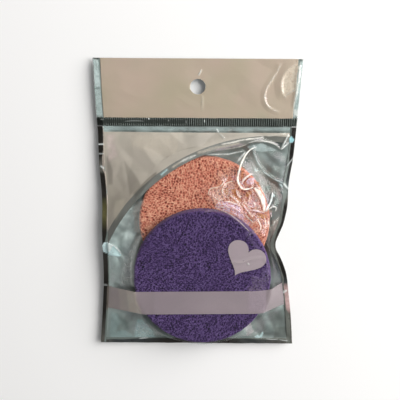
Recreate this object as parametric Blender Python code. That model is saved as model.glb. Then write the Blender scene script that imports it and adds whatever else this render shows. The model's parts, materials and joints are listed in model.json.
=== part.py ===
"""A flat retail pouch, heat-sealed on all sides, with two round face sponges loose inside it.

The pouch lies on its back: X runs across it, +Y towards its header, and +Z out of its clear front.
The film drawn in sections: a clear front web and a metallised back web over the pocket, the seals
where the two webs are fused, and the header above the crimp, with its hang hole.
"""

from math import cos, pi, radians, sin

import bmesh
import bpy
import numpy as np

MM = 0.001

# The sponges. The coral one lies on the back web and the purple one on the coral one.
PURPLE_RADIUS = 39.0 * MM
CORAL_RADIUS = 37.5 * MM
SPONGE_THICKNESS = 7.0 * MM
RIM_RADIUS = 2.0 * MM
PURPLE_ABOVE_SEAL = 3.6 * MM
CORAL_ASIDE = 4.2 * MM
CORAL_BELOW_CRIMP = 16.7 * MM
PURPLE_TRAVEL = (0.0, 5.0 * MM)
CORAL_TRAVEL = (-2.0 * MM, 5.0 * MM)
RIM_SEGMENTS = 72
RIM_RINGS = 3
WELD_DISTANCE = 0.01 * MM

# The pouch as cut from the roll: the room that it leaves beside the larger sponge, its length,
# and the bands across it, from the top down
LEFT_ROOM = 21.6 * MM
RIGHT_ROOM = 15.4 * MM
POUCH_LENGTH = 168.0 * MM
HEADER_LENGTH = 31.6 * MM
FOLD_GAP = 0.9 * MM
CRIMP_LENGTH = 4.6 * MM
BOTTOM_SEAL_WIDTH = 3.4 * MM
SIDE_SEAL_WIDTH = 3.2 * MM

# The webs. Each is drawn thicker than the real film, so that it makes a sound solid.
WEB_THICKNESS = 0.3 * MM
INK_THICKNESS = 0.15 * MM
CLEARANCE = 0.3 * MM

# Where the contents pull the side edges in: (height, pull) along each edge, as shares of half
# the pouch's length and of the deepest pull, which leaves the right side this much room
ROOM_LEFT_BY_PULL = 5.4 * MM
LEFT_EDGE_SHARES = (
    (1.00, 0.00), (0.62, 0.12), (0.56, 0.16), (0.30, 0.20), (0.07, 0.33), (-0.19, 0.29),
    (-0.52, 0.30), (-0.67, 0.22), (-0.82, 0.13), (-1.00, 0.00),
)
RIGHT_EDGE_SHARES = (
    (1.00, 0.00), (0.62, 0.20), (0.55, 0.24), (0.33, 0.38), (0.17, 0.56), (0.01, 0.57),
    (-0.10, 0.70), (-0.20, 0.93), (-0.28, 1.00), (-0.36, 0.74), (-0.45, 0.50), (-0.60, 0.34),
    (-0.80, 0.14), (-1.00, 0.00),
)

# How high the fused edges lie, and how far the contents lift the side seals in their middle
SEAL_HEIGHT = 4.2 * MM
SIDE_LIFT = 2.4 * MM
LIFT_CENTRE_SHARE = -0.2
LIFT_REACH_SHARE = 0.55

# The crimp's ribs
RIB_PITCH = 1.2 * MM
RIB_DEPTH = 0.25 * MM

# The hang hole
HOLE_RADIUS = 4.2 * MM
HOLE_BELOW_TOP = 15.3 * MM
HOLE_SEGMENTS = 32

# The printing on the inside of the front web
INK_MARGIN = 1.2 * MM
INK_GAP = 0.1 * MM
STRIP_BELOW_CRIMP = 3.2 * MM
ARC_RADIUS = 103.0 * MM
ARC_WIDTH = 3.8 * MM
ARC_BELOW_TOP = 1.7 * MM
ARC_DROP = 56.4 * MM
ARC_SEGMENTS = 96
SIDE_POINTS = 9
BAND_WIDTH = 13.4 * MM
BAND_ABOVE_BOTTOM = 24.3 * MM
BAND_SLOPE = radians(1.2)
HEART_WIDTH = 21.5 * MM
HEART_HEIGHT = 20.5 * MM
HEART_FROM_RIGHT = 35.8 * MM
HEART_ABOVE_BOTTOM = 46.8 * MM
HEART_TILT = radians(28.0)
HEART_SEGMENTS = 40
HEADER_PRINT_LEFT_MARGIN = 3.9 * MM
HEADER_PRINT_RIGHT_MARGIN = 2.6 * MM

# The meshes of the film: cells across each web and along the pocket, and passes of relaxation
FRONT_CELLS = 28
BACK_CELLS = 20
CELLS_ALONG = 34
HEADER_CELLS = 8
RELAX_PASSES = 1500
STEEPEST = 2.4

# How far outside its rim a sponge still holds each web off, and how far a cutter overruns
FRONT_STANDOFF = 3.2 * MM
BACK_STANDOFF = 4.0 * MM
OVERRUN = 5.0 * MM

POUCH_WIDTH = LEFT_ROOM + 2 * max(PURPLE_RADIUS, CORAL_RADIUS) + RIGHT_ROOM
HALF_WIDTH = POUCH_WIDTH / 2
EDGE_PULL = RIGHT_ROOM - ROOM_LEFT_BY_PULL
TOP_Y = POUCH_LENGTH / 2
BOTTOM_Y = -POUCH_LENGTH / 2
HEADER_Y = TOP_Y - HEADER_LENGTH
CRIMP_TOP_Y = HEADER_Y - FOLD_GAP
CRIMP_BOTTOM_Y = CRIMP_TOP_Y - CRIMP_LENGTH
BOTTOM_SEAL_Y = BOTTOM_Y + BOTTOM_SEAL_WIDTH
POCKET_TOP_Y = CRIMP_BOTTOM_Y - CLEARANCE
POCKET_BOTTOM_Y = BOTTOM_SEAL_Y + CLEARANCE
PRINT_TOP_Y = POCKET_TOP_Y - STRIP_BELOW_CRIMP

FUSED_THICKNESS = 2 * WEB_THICKNESS + CLEARANCE
HEADER_THICKNESS = 2 * WEB_THICKNESS + INK_THICKNESS

CORAL_BOTTOM_Z = WEB_THICKNESS + CLEARANCE
CORAL_TOP_Z = CORAL_BOTTOM_Z + SPONGE_THICKNESS
PURPLE_BOTTOM_Z = CORAL_TOP_Z + CLEARANCE
PURPLE_TOP_Z = PURPLE_BOTTOM_Z + SPONGE_THICKNESS
PURPLE_CENTRE = (
    (LEFT_ROOM - RIGHT_ROOM) / 2,
    BOTTOM_SEAL_Y + PURPLE_ABOVE_SEAL + PURPLE_RADIUS,
)
CORAL_CENTRE = (CORAL_ASIDE, POCKET_TOP_Y - CORAL_BELOW_CRIMP - CORAL_RADIUS)
HEART_TIP = (HALF_WIDTH - HEART_FROM_RIGHT, BOTTOM_Y + HEART_ABOVE_BOTTOM)


def clear_scene():
    for thing in list(bpy.data.objects):
        bpy.data.objects.remove(thing)


def material(name, colour, roughness, metallic=0.0, alpha=1.0):
    made = bpy.data.materials.new(name)
    made.use_nodes = True
    shader = made.node_tree.nodes["Principled BSDF"]
    shader.inputs["Base Color"].default_value = (*colour, 1.0)
    shader.inputs["Roughness"].default_value = roughness
    shader.inputs["Metallic"].default_value = metallic
    shader.inputs["Alpha"].default_value = alpha
    made.diffuse_color = (*colour, alpha)
    return made


def add_object(name, mesh, finish):
    made = bpy.data.objects.new(name, mesh)
    bpy.context.scene.collection.objects.link(made)
    mesh.materials.append(finish)
    return made


def smooth_between(shares, at):
    """The value at each point of a Catmull-Rom curve through (position, value) pairs."""
    places = np.array([place for place, value in shares])[::-1]
    values = np.array([value for place, value in shares])[::-1]
    slopes = np.gradient(values, places)
    left = np.clip(np.searchsorted(places, at) - 1, 0, len(places) - 2)
    span = places[left + 1] - places[left]
    t = np.clip((at - places[left]) / span, 0, 1)
    start_part = (1 + 2 * t) * (1 - t) ** 2 * values[left]
    end_part = t**2 * (3 - 2 * t) * values[left + 1]
    slope_part = span * t * (1 - t) * ((1 - t) * slopes[left] - t * slopes[left + 1])
    return start_part + end_part + slope_part


def left_edge(y):
    return -HALF_WIDTH + EDGE_PULL * smooth_between(LEFT_EDGE_SHARES, y / TOP_Y)


def right_edge(y):
    return HALF_WIDTH - EDGE_PULL * smooth_between(RIGHT_EDGE_SHARES, y / TOP_Y)


def edge_height(y):
    """The middle height of the fused edge at y: lifted by the contents, flat at both ends."""
    away = (y / TOP_Y - LIFT_CENTRE_SHARE) / LIFT_REACH_SHARE
    return SEAL_HEIGHT + SIDE_LIFT * np.clip(1 - away**2, 0, 1) ** 2


def sheet_mesh(name, x, y, top, bottom):
    """A closed sheet over a grid of points, between two height fields given at the points. Its
    cells are all split along the same diagonal, so that sheets over one grid stay parallel."""
    rows, columns = x.shape
    mesh = bmesh.new()
    layers = []
    for height in (top, bottom):
        layers.append([
            [mesh.verts.new((x[i, j], y[i, j], height[i, j])) for j in range(columns)]
            for i in range(rows)
        ])
    upper, lower = layers
    for i in range(rows - 1):
        for j in range(columns - 1):
            for a, b, c, d in (
                (upper[i][j], upper[i][j + 1], upper[i + 1][j + 1], upper[i + 1][j]),
                (lower[i][j], lower[i][j + 1], lower[i + 1][j + 1], lower[i + 1][j]),
            ):
                mesh.faces.new((a, b, c))
                mesh.faces.new((a, c, d))
    rim = [(0, j) for j in range(columns)]
    rim += [(i, columns - 1) for i in range(1, rows)]
    rim += [(rows - 1, j) for j in range(columns - 2, -1, -1)]
    rim += [(i, 0) for i in range(rows - 2, 0, -1)]
    for (i, j), (k, m) in zip(rim, rim[1:] + rim[:1]):
        mesh.faces.new((upper[k][m], upper[i][j], lower[i][j], lower[k][m]))
    bmesh.ops.recalc_face_normals(mesh, faces=mesh.faces)
    made = bpy.data.meshes.new(name)
    mesh.to_mesh(made)
    mesh.free()
    return made


def grid_between(left, right, rows, cells):
    """A grid of points on the given rows, between two side curves given as functions of y."""
    shares = np.linspace(0, 1, cells + 1)
    x = left(rows)[:, None] * (1 - shares) + right(rows)[:, None] * shares
    y = np.repeat(rows[:, None], cells + 1, axis=1)
    return x, y


def pocket_rows():
    return np.linspace(POCKET_BOTTOM_Y, POCKET_TOP_Y, CELLS_ALONG + 1)


def pocket_left(y):
    return left_edge(y) + SIDE_SEAL_WIDTH + CLEARANCE


def pocket_right(y):
    return right_edge(y) - SIDE_SEAL_WIDTH - CLEARANCE


def near_sponge(x, y, centre, reach, travel):
    """True at each point within reach of the centre of a sponge somewhere on its way."""
    ahead = y - centre[1]
    ahead = ahead - np.clip(ahead, travel[0], travel[1])
    return np.hypot(x - centre[0], ahead) <= reach


def relaxed(height, held):
    """A stretched film: each free point settles at the mean of its neighbours, and the held
    function keeps it clear of what it lies against."""
    for _ in range(RELAX_PASSES):
        mean = height[:-2, 1:-1] + height[2:, 1:-1] + height[1:-1, :-2] + height[1:-1, 2:]
        height[1:-1, 1:-1] = mean / 4
        height = held(height)
    return height


def steepness(x, y, height):
    """How much longer than flat the film is at each point, up to STEEPEST."""
    across = np.gradient(height, axis=1) / np.gradient(x, axis=1)
    along = np.gradient(height, axis=0) / np.gradient(y, axis=0)
    return np.minimum(np.sqrt(1 + across**2 + along**2), STEEPEST)


def front_film_grid():
    """The front web's underside over the pocket: stretched over both sponges."""
    x, y = grid_between(pocket_left, pocket_right, pocket_rows(), FRONT_CELLS)
    under_film = CLEARANCE + INK_THICKNESS + INK_GAP
    coral_reach = CORAL_RADIUS + FRONT_STANDOFF
    purple_reach = PURPLE_RADIUS + FRONT_STANDOFF
    over_coral = near_sponge(x, y, CORAL_CENTRE, coral_reach, CORAL_TRAVEL)
    over_purple = near_sponge(x, y, PURPLE_CENTRE, purple_reach, PURPLE_TRAVEL)
    edge = edge_height(y) + CLEARANCE / 2
    least = np.where(over_coral, CORAL_TOP_Z + under_film, 0)
    least = np.where(over_purple, PURPLE_TOP_Z + under_film, least)
    inner = np.zeros(x.shape, bool)
    inner[1:-1, 1:-1] = True
    least = np.where(inner, least, edge)
    height = relaxed(edge.copy(), lambda h: np.maximum(h, least))
    return x, y, height


def back_film_grid():
    """The back web's top over the pocket: flat where the coral sponge presses it down."""
    x, y = grid_between(pocket_left, pocket_right, pocket_rows(), BACK_CELLS)
    reach = CORAL_RADIUS + BACK_STANDOFF
    pressed = near_sponge(x, y, CORAL_CENTRE, reach, CORAL_TRAVEL)
    edge = edge_height(y) - CLEARANCE / 2
    pressed[0, :] = pressed[-1, :] = False
    pressed[:, 0] = pressed[:, -1] = False
    most = np.where(pressed, WEB_THICKNESS, edge)
    height = relaxed(edge.copy(), lambda h: np.minimum(h, most))
    return x, y, height


def make_webs():
    x, y, under = front_film_grid()
    slope = steepness(x, y, under)
    clear = material("clear film", (0.80, 0.86, 0.88), 0.12, alpha=0.25)
    mesh = sheet_mesh("front_film", x, y, under + WEB_THICKNESS * slope, under)
    add_object("front_film", mesh, clear)
    back_x, back_y, top = back_film_grid()
    metal = material("metallised film", (0.42, 0.47, 0.45), 0.25, metallic=0.9)
    mesh = sheet_mesh("back_film", back_x, back_y, top, top - WEB_THICKNESS)
    add_object("back_film", mesh, metal)
    return x, y, under - INK_GAP * slope, slope


def make_side_seal(name, left, right, finish):
    """A strip of fused web down one side of the pocket, from the crimp to the bottom edge."""
    x, y = grid_between(left, right, np.append(BOTTOM_Y, pocket_rows()), 1)
    middle = edge_height(y)
    mesh = sheet_mesh(name, x, y, middle + FUSED_THICKNESS / 2, middle - FUSED_THICKNESS / 2)
    add_object(name, mesh, finish)


def make_bottom_seal(finish):
    rows = np.array([BOTTOM_Y, BOTTOM_SEAL_Y])
    x, y = grid_between(pocket_left, pocket_right, rows, 1)
    middle = edge_height(y)
    top = middle + FUSED_THICKNESS / 2
    mesh = sheet_mesh("bottom_seal", x, y, top, middle - FUSED_THICKNESS / 2)
    add_object("bottom_seal", mesh, finish)


def make_crimp():
    """The ribbed seal under the header: both webs pressed together into fine upright ribs."""
    ribs = int(round(POUCH_WIDTH / RIB_PITCH))
    rows = np.array([CRIMP_BOTTOM_Y, CRIMP_TOP_Y])
    x, y = grid_between(left_edge, right_edge, rows, 2 * ribs)
    ridge = np.where(np.arange(2 * ribs + 1) % 2 == 0, -RIB_DEPTH / 2, RIB_DEPTH / 2)
    middle = SEAL_HEIGHT + ridge[None, :] + 0 * x
    half = HEADER_THICKNESS / 2
    mesh = sheet_mesh("crimp_seal", x, y, middle + half, middle - half)
    add_object("crimp_seal", mesh, material("crimp", (0.10, 0.12, 0.11), 0.35, metallic=0.5))


def make_seals():
    black = material("fused edge", (0.03, 0.03, 0.03), 0.25)

    def left_inner(y):
        return left_edge(y) + SIDE_SEAL_WIDTH

    def right_inner(y):
        return right_edge(y) - SIDE_SEAL_WIDTH

    make_side_seal("left_side_seal", left_edge, left_inner, black)
    make_side_seal("right_side_seal", right_inner, right_edge, black)
    make_bottom_seal(black)
    make_crimp()


def prism_mesh(name, outline, low, high):
    """The outline, a list of (x, y) points, as a closed upright prism from low to high."""
    mesh = bmesh.new()
    floor = [mesh.verts.new((x, y, low)) for x, y in outline]
    face = mesh.faces.new(floor)
    raised = bmesh.ops.extrude_face_region(mesh, geom=[face])
    lifted = [v for v in raised["geom"] if isinstance(v, bmesh.types.BMVert)]
    bmesh.ops.translate(mesh, verts=lifted, vec=(0, 0, high - low))
    bmesh.ops.recalc_face_normals(mesh, faces=mesh.faces)
    made = bpy.data.meshes.new(name)
    mesh.to_mesh(made)
    mesh.free()
    return made


def add_cutter(name, mesh):
    cutter = bpy.data.objects.new(name, mesh)
    bpy.context.scene.collection.objects.link(cutter)
    cutter.hide_render = True
    cutter.display_type = "WIRE"
    return cutter


def boolean(target, cutter, operation):
    made = target.modifiers.new(cutter.name, "BOOLEAN")
    made.operation = operation
    made.solver = "EXACT"
    made.object = cutter


def circle_points(centre, radius, start, end, count):
    angles = np.linspace(start, end, count)
    return [(centre[0] + radius * cos(a), centre[1] + radius * sin(a)) for a in angles]


def arc_centre():
    """The arc's top lies just under the print's, and it meets the left side lower down."""
    low = PRINT_TOP_Y - ARC_BELOW_TOP - ARC_RADIUS
    end = PRINT_TOP_Y - ARC_BELOW_TOP - ARC_DROP
    reach = np.sqrt(ARC_RADIUS**2 - (end - low) ** 2)
    return float(pocket_left(end) + INK_MARGIN + reach), low


def arc_points(radius):
    """The points of a circle about the arc's centre that lie in the printed area, from the right."""
    circle = circle_points(arc_centre(), radius, 0, pi, ARC_SEGMENTS)
    sides = [(pocket_left(y) + INK_MARGIN, pocket_right(y) - INK_MARGIN) for x, y in circle]
    return [
        (x, y) for (x, y), (left, right) in zip(circle, sides)
        if left < x < right and y < PRINT_TOP_Y
    ]


def margin_points(y_start, y_end, side, count):
    """Points up or down one side of the pocket, an ink margin inside its edge function."""
    inward = INK_MARGIN if side is pocket_left else -INK_MARGIN
    rows = np.linspace(y_start, y_end, count)
    return [(float(x) + inward, float(y)) for x, y in zip(side(rows), rows)]


def panel_outline():
    """The corner panel: the pocket's top left, down to the arc."""
    arc = arc_points(ARC_RADIUS)
    side = margin_points(arc[-1][1], PRINT_TOP_Y, pocket_left, SIDE_POINTS)
    return arc + side[1:] + [(arc[0][0], PRINT_TOP_Y)]


def arc_outline():
    """The narrow curved stripe just inside the panel's edge."""
    return arc_points(ARC_RADIUS - CLEARANCE) + arc_points(ARC_RADIUS - ARC_WIDTH)[::-1]


def band_outline():
    """The stripe across the pocket, from side to side."""
    middle = BOTTOM_Y + BAND_ABOVE_BOTTOM + BAND_WIDTH / 2
    top, bottom = middle + BAND_WIDTH / 2, middle - BAND_WIDTH / 2
    left = margin_points(top, bottom, pocket_left, SIDE_POINTS)
    right = margin_points(bottom, top, pocket_right, SIDE_POINTS)
    return [(x, y + x * sin(BAND_SLOPE)) for x, y in left + right]


def heart_outline():
    """A plain heart on the usual heart curve, standing on its tip and tilted."""
    points = []
    for turn in np.linspace(0, 2 * pi, HEART_SEGMENTS, endpoint=False):
        across = sin(turn) ** 3
        up = (13 * cos(turn) - 5 * cos(2 * turn) - 2 * cos(3 * turn) - cos(4 * turn) + 17) / 29
        x, y = HEART_WIDTH / 2 * across, HEART_HEIGHT * up
        points.append((
            HEART_TIP[0] + x * cos(HEART_TILT) + y * sin(HEART_TILT),
            HEART_TIP[1] - x * sin(HEART_TILT) + y * cos(HEART_TILT),
        ))
    return points


def make_pocket_print(x, y, top, slope):
    """The printed areas: a thin layer under the front web, kept inside each outline."""
    beige = material("beige ink", (0.53, 0.47, 0.40), 0.5)
    grey = material("grey ink", (0.33, 0.34, 0.33), 0.5)
    mauve = material("mauve ink", (0.42, 0.34, 0.38), 0.5)
    areas = (
        ("printed_panel", panel_outline(), beige),
        ("printed_arc", arc_outline(), grey),
        ("printed_band", band_outline(), mauve),
        ("printed_heart", heart_outline(), mauve),
    )
    for name, outline, ink in areas:
        layer = add_object(name, sheet_mesh(name, x, y, top, top - INK_THICKNESS * slope), ink)
        mesh = prism_mesh(name + "_outline", outline, -OVERRUN, PURPLE_TOP_Z + OVERRUN)
        boolean(layer, add_cutter(name + "_outline", mesh), "INTERSECT")


def make_header():
    """The header's two webs and the printing between them, all punched by the hang hole."""
    joint = bpy.data.objects.new("header_fold", None)
    bpy.context.scene.collection.objects.link(joint)
    joint.location = (0, CRIMP_TOP_Y + FOLD_GAP / 2, SEAL_HEIGHT)

    def print_left(y):
        return left_edge(y) + HEADER_PRINT_LEFT_MARGIN

    def print_right(y):
        return right_edge(y) - HEADER_PRINT_RIGHT_MARGIN

    low = SEAL_HEIGHT - HEADER_THICKNESS / 2
    levels = np.float32([low, low + WEB_THICKNESS, low + WEB_THICKNESS + INK_THICKNESS,
                         low + HEADER_THICKNESS])
    metal = material("header back", (0.42, 0.47, 0.45), 0.25, metallic=0.9)
    beige = material("header ink", (0.50, 0.42, 0.34), 0.5)
    clear = material("header film", (0.80, 0.86, 0.88), 0.12, alpha=0.25)
    layers = (
        ("header_back_film", left_edge, right_edge, 0, metal),
        ("header_print", print_left, print_right, 1, beige),
        ("header_front_film", left_edge, right_edge, 2, clear),
    )
    centre = (0, TOP_Y - HOLE_BELOW_TOP)
    ring = circle_points(centre, HOLE_RADIUS, 0, 2 * pi, HOLE_SEGMENTS + 1)[:-1]
    punch = add_cutter("hang_hole", prism_mesh("hang_hole", ring, -OVERRUN, PURPLE_TOP_Z))
    for name, left, right, level, finish in layers:
        x, y = grid_between(left, right, np.linspace(HEADER_Y, TOP_Y, HEADER_CELLS + 1), 2)
        top = float(levels[level + 1]) + 0 * x
        bottom = float(levels[level]) + 0 * x
        web = add_object(name, sheet_mesh(name, x, y, top, bottom), finish)
        boolean(web, punch, "DIFFERENCE")
        web.parent = joint
        web.matrix_parent_inverse = joint.matrix_basis.inverted()


def sponge_profile(radius):
    """Half of a sponge's section: from the bottom's centre, round the rim, to the top's."""
    half = SPONGE_THICKNESS / 2
    points = [(0.0, -half)]
    for start, middle in ((-pi / 2, -half + RIM_RADIUS), (0, half - RIM_RADIUS)):
        for angle in np.linspace(start, start + pi / 2, RIM_RINGS):
            across = radius - RIM_RADIUS + RIM_RADIUS * cos(angle)
            points.append((across, middle + RIM_RADIUS * sin(angle)))
    return points + [(0.0, half)]


def make_sponge(name, centre, middle_z, radius, finish):
    """A round sponge: its section turned about its own axis."""
    mesh = bmesh.new()
    section = [mesh.verts.new((x, 0, z)) for x, z in sponge_profile(radius)]
    edges = [mesh.edges.new(pair) for pair in zip(section, section[1:])]
    bmesh.ops.spin(mesh, geom=section + edges, cent=(0, 0, 0), axis=(0, 0, 1), angle=2 * pi,
                   steps=RIM_SEGMENTS, use_merge=True)
    bmesh.ops.remove_doubles(mesh, verts=mesh.verts, dist=WELD_DISTANCE)
    bmesh.ops.recalc_face_normals(mesh, faces=mesh.faces)
    made = bpy.data.meshes.new(name)
    mesh.to_mesh(made)
    mesh.free()
    sponge = add_object(name, made, finish)
    sponge.location = (centre[0], centre[1], middle_z)
    made.shade_smooth()
    made.set_sharp_from_angle(angle=radians(40))


def make_sponges():
    coral = material("coral foam", (0.67, 0.21, 0.14), 0.9)
    purple = material("purple foam", (0.065, 0.03, 0.14), 0.9)
    half = SPONGE_THICKNESS / 2
    make_sponge("coral_sponge", CORAL_CENTRE, CORAL_BOTTOM_Z + half, CORAL_RADIUS, coral)
    make_sponge("purple_sponge", PURPLE_CENTRE, PURPLE_BOTTOM_Z + half, PURPLE_RADIUS, purple)


clear_scene()
make_seals()
print_grid = make_webs()
make_pocket_print(*print_grid)
make_header()
make_sponges()
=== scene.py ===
import json
from collections import namedtuple
from math import cos, pi, radians, sin

import bpy
import numpy as np
from mathutils import Matrix, Vector
from mathutils.geometry import delaunay_2d_cdt


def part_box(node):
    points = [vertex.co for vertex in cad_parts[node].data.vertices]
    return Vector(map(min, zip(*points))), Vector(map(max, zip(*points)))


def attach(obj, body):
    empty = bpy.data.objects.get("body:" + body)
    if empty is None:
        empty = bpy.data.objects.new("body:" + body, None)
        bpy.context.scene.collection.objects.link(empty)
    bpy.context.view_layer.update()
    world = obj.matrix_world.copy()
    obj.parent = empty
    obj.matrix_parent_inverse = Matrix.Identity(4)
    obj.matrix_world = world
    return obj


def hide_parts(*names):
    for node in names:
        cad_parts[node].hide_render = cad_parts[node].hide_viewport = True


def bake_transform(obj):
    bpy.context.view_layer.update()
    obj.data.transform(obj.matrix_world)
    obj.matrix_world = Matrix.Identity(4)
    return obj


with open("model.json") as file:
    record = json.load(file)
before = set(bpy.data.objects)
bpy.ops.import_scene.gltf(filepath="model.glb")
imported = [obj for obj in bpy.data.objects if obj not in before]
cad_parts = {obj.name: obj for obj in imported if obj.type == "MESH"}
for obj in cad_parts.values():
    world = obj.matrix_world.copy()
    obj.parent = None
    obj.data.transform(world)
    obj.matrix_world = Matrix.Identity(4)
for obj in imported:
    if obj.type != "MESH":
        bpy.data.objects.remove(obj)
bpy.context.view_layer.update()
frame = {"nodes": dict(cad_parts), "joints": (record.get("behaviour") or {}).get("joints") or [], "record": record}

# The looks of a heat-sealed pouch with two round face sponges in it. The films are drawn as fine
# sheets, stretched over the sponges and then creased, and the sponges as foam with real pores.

MM = 0.001

# The camera, fitted to the photograph's corners: where it looks, how far it leans towards the
# header, its roll, its distance and its focal length in pixels of a 400-pixel frame
TARGET = Vector((1.61 * MM, 3.37 * MM, 0.0))
CAMERA_LEAN = radians(14.0)
CAMERA_ROLL = 0.00644
CAMERA_DISTANCE = 0.42245
FOCAL_PIXELS = 731.23
FRAME_PIXELS = 400
SENSOR_WIDTH = 36.0
CLIP_START = 0.01

# The front film: how far it clears a sponge's top and its rim, and how far under it the ink lies
FILM_ABOVE_SPONGE = 0.4 * MM
STANDOFF = 1.2 * MM
INK_BELOW_FILM = 0.07 * MM

# The seals and the header's layers, which are thinner here than in the CAD model: how far the
# pocket's films reach under the seals and the header's under the crimp, and the layers' gap
SEAL_THICKNESS = 0.4 * MM
HEADER_FILM = 0.12 * MM
HEADER_INK = 0.06 * MM
TUCK = 0.4 * MM
FOLD_TUCK = 1.2 * MM
LAYER_GAP = 0.02 * MM

# How much deeper than in the CAD model the right side is pulled in, and how far along: a broad
# hollow with a narrow one at its middle
DENT_Y = -20.0 * MM
DENTS = ((1.4 * MM, 20.0 * MM), (0.8 * MM, 5.0 * MM))

# CAD corners whose y differs by less than this are in one row, and a row that is wider than
# this goes right across the pouch
ROW_DEPTH = 0.02 * MM
ACROSS = 80 * MM
# More than half the pouch's length: the seals' tones are laid out from -SPAN to SPAN
SPAN = 90 * MM


def node_points(name):
    """The corners of a CAD node, as an array of points."""
    return np.array([corner.co for corner in frame["nodes"][name].data.vertices], float)


def wide_rows(names, least_width):
    """The straight rows of corners across some nodes: their y, least x, greatest x and mid z."""
    points = np.concatenate([node_points(name) for name in names])
    keys = np.round(points[:, 1] / ROW_DEPTH).astype(int)
    found = []
    for key in np.unique(keys):
        row = points[keys == key]
        low, high = row.min(axis=0), row.max(axis=0)
        if high[0] - low[0] > least_width:
            found.append((row[:, 1].mean(), low[0], high[0], (low[2] + high[2]) / 2))
    return np.array(found).T


def curve_through(places, values):
    """A smooth curve through (place, value) pairs, as a function of the place."""
    slopes = np.gradient(values, places)

    def value(at):
        at = np.clip(at, places[0], places[-1])
        left = np.clip(np.searchsorted(places, at) - 1, 0, len(places) - 2)
        span = places[left + 1] - places[left]
        t = (at - places[left]) / span
        start = (1 + 2 * t) * (1 - t) ** 2 * values[left]
        end = t**2 * (3 - 2 * t) * values[left + 1]
        lean = span * t * (1 - t) * ((1 - t) * slopes[left] - t * slopes[left + 1])
        return start + end + lean

    return value


# The pouch's edges, read from the CAD's seals and header
SIDES = ["left_side_seal", "right_side_seal"]
edge_rows = wide_rows([*SIDES, "crimp_seal", "header_back_film", "header_front_film"], ACROSS)
seal_rows = wide_rows(SIDES, ACROSS)
strip_rows = wide_rows(["left_side_seal"], 0)
left_edge = curve_through(edge_rows[0], edge_rows[1])
cad_right_edge = curve_through(edge_rows[0], edge_rows[2])
seal_height = curve_through(seal_rows[0], seal_rows[3])
SEAL_WIDTH = float(np.mean(strip_rows[2] - strip_rows[1]))
BOTTOM_LOW, BOTTOM_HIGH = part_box("bottom_seal")
CRIMP_LOW, CRIMP_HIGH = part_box("crimp_seal")
HEADER_LOW, HEADER_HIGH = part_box("header_back_film")
FLAT_HEIGHT = (CRIMP_LOW.z + CRIMP_HIGH.z) / 2
PANEL_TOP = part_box("printed_panel")[1].y


def flat(x, y):
    """The height of a film that lies level with the crimp."""
    return FLAT_HEIGHT + 0 * x


def right_edge(y):
    return cad_right_edge(y) - sum(d * np.exp(-(((y - DENT_Y) / r) ** 2)) for d, r in DENTS)


def inner_left(y):
    return left_edge(y) + SEAL_WIDTH


def inner_right(y):
    return right_edge(y) - SEAL_WIDTH


# A sponge's place, its radius across, its heights, how far it slides, and its length along the
# pouch as a share of its width
Disc = namedtuple("Disc", "centre radius low high travel longer")


def disc_of(node, joint):
    """A sponge's place, from its CAD solid, and how far its joint lets it slide along the pouch."""
    low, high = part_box(node)
    travel = [j["range_m"] for j in frame["joints"] if j["name"] == joint][0]
    centre = ((low.x + high.x) / 2, (low.y + high.y) / 2)
    return Disc(centre, (high.x - low.x) / 2, low.z, high.z, travel, 1.0)


# The purple sponge is a little wider and lower than its solid, and pressed out of round
PURPLE_SWELL = 0.45 * MM
PURPLE_SAG = 1.2 * MM
PURPLE_LONGER = 1.018
coral = disc_of("coral_sponge", "coral_shift")
purple = disc_of("purple_sponge", "purple_shift")
purple = purple._replace(centre=(purple.centre[0], purple.centre[1] - PURPLE_SAG),
                         radius=purple.radius + PURPLE_SWELL, longer=PURPLE_LONGER)


def camera_axes():
    """The camera's right, up and back directions, and its place."""
    back = Vector((0, sin(CAMERA_LEAN), cos(CAMERA_LEAN)))
    level = Vector((1, 0, 0))
    raised = back.cross(level)
    right = level * cos(CAMERA_ROLL) + raised * sin(CAMERA_ROLL)
    up = raised * cos(CAMERA_ROLL) - level * sin(CAMERA_ROLL)
    return right, up, back, TARGET + CAMERA_DISTANCE * back


def add_object(name, data):
    """A new object in the scene."""
    made = bpy.data.objects.new(name, data)
    bpy.context.scene.collection.objects.link(made)
    return made


def add_camera():
    right, up, back, place = camera_axes()
    data = bpy.data.cameras.new("camera")
    data.sensor_width = SENSOR_WIDTH
    data.lens = FOCAL_PIXELS / FRAME_PIXELS * SENSOR_WIDTH
    data.clip_start = CLIP_START
    camera = add_object("camera", data)
    turned = Matrix((right, up, back)).transposed().to_4x4()
    camera.matrix_world = Matrix.Translation(place) @ turned
    bpy.context.scene.camera = camera


def seen_at(column, row, height):
    """The point at a height that the camera sees at a pixel of the 400-pixel frame."""
    right, up, back, place = camera_axes()
    half = FRAME_PIXELS / 2
    ray = right * (column - half) / FOCAL_PIXELS + up * (half - row) / FOCAL_PIXELS - back
    return place + ray * ((height - place.z) / ray.z)


def smooth_step(low, high, value):
    t = np.clip((value - low) / (high - low), 0, 1)
    return t * t * (3 - 2 * t)


# Cells across and along the pocket's films, in multiples of the coarsest relaxing grid's, and
# how many times a grid with points so far apart is relaxed
FRONT_CELLS = (288, 336)
BACK_CELLS = (128, 144)
COARSEST = 16
PASSES = {16: 500, 8: 300, 4: 160, 2: 90, 1: 50}
POCKET_BOTTOM = BOTTOM_HIGH.y - TUCK
POCKET_TOP = CRIMP_LOW.y + TUCK


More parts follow.
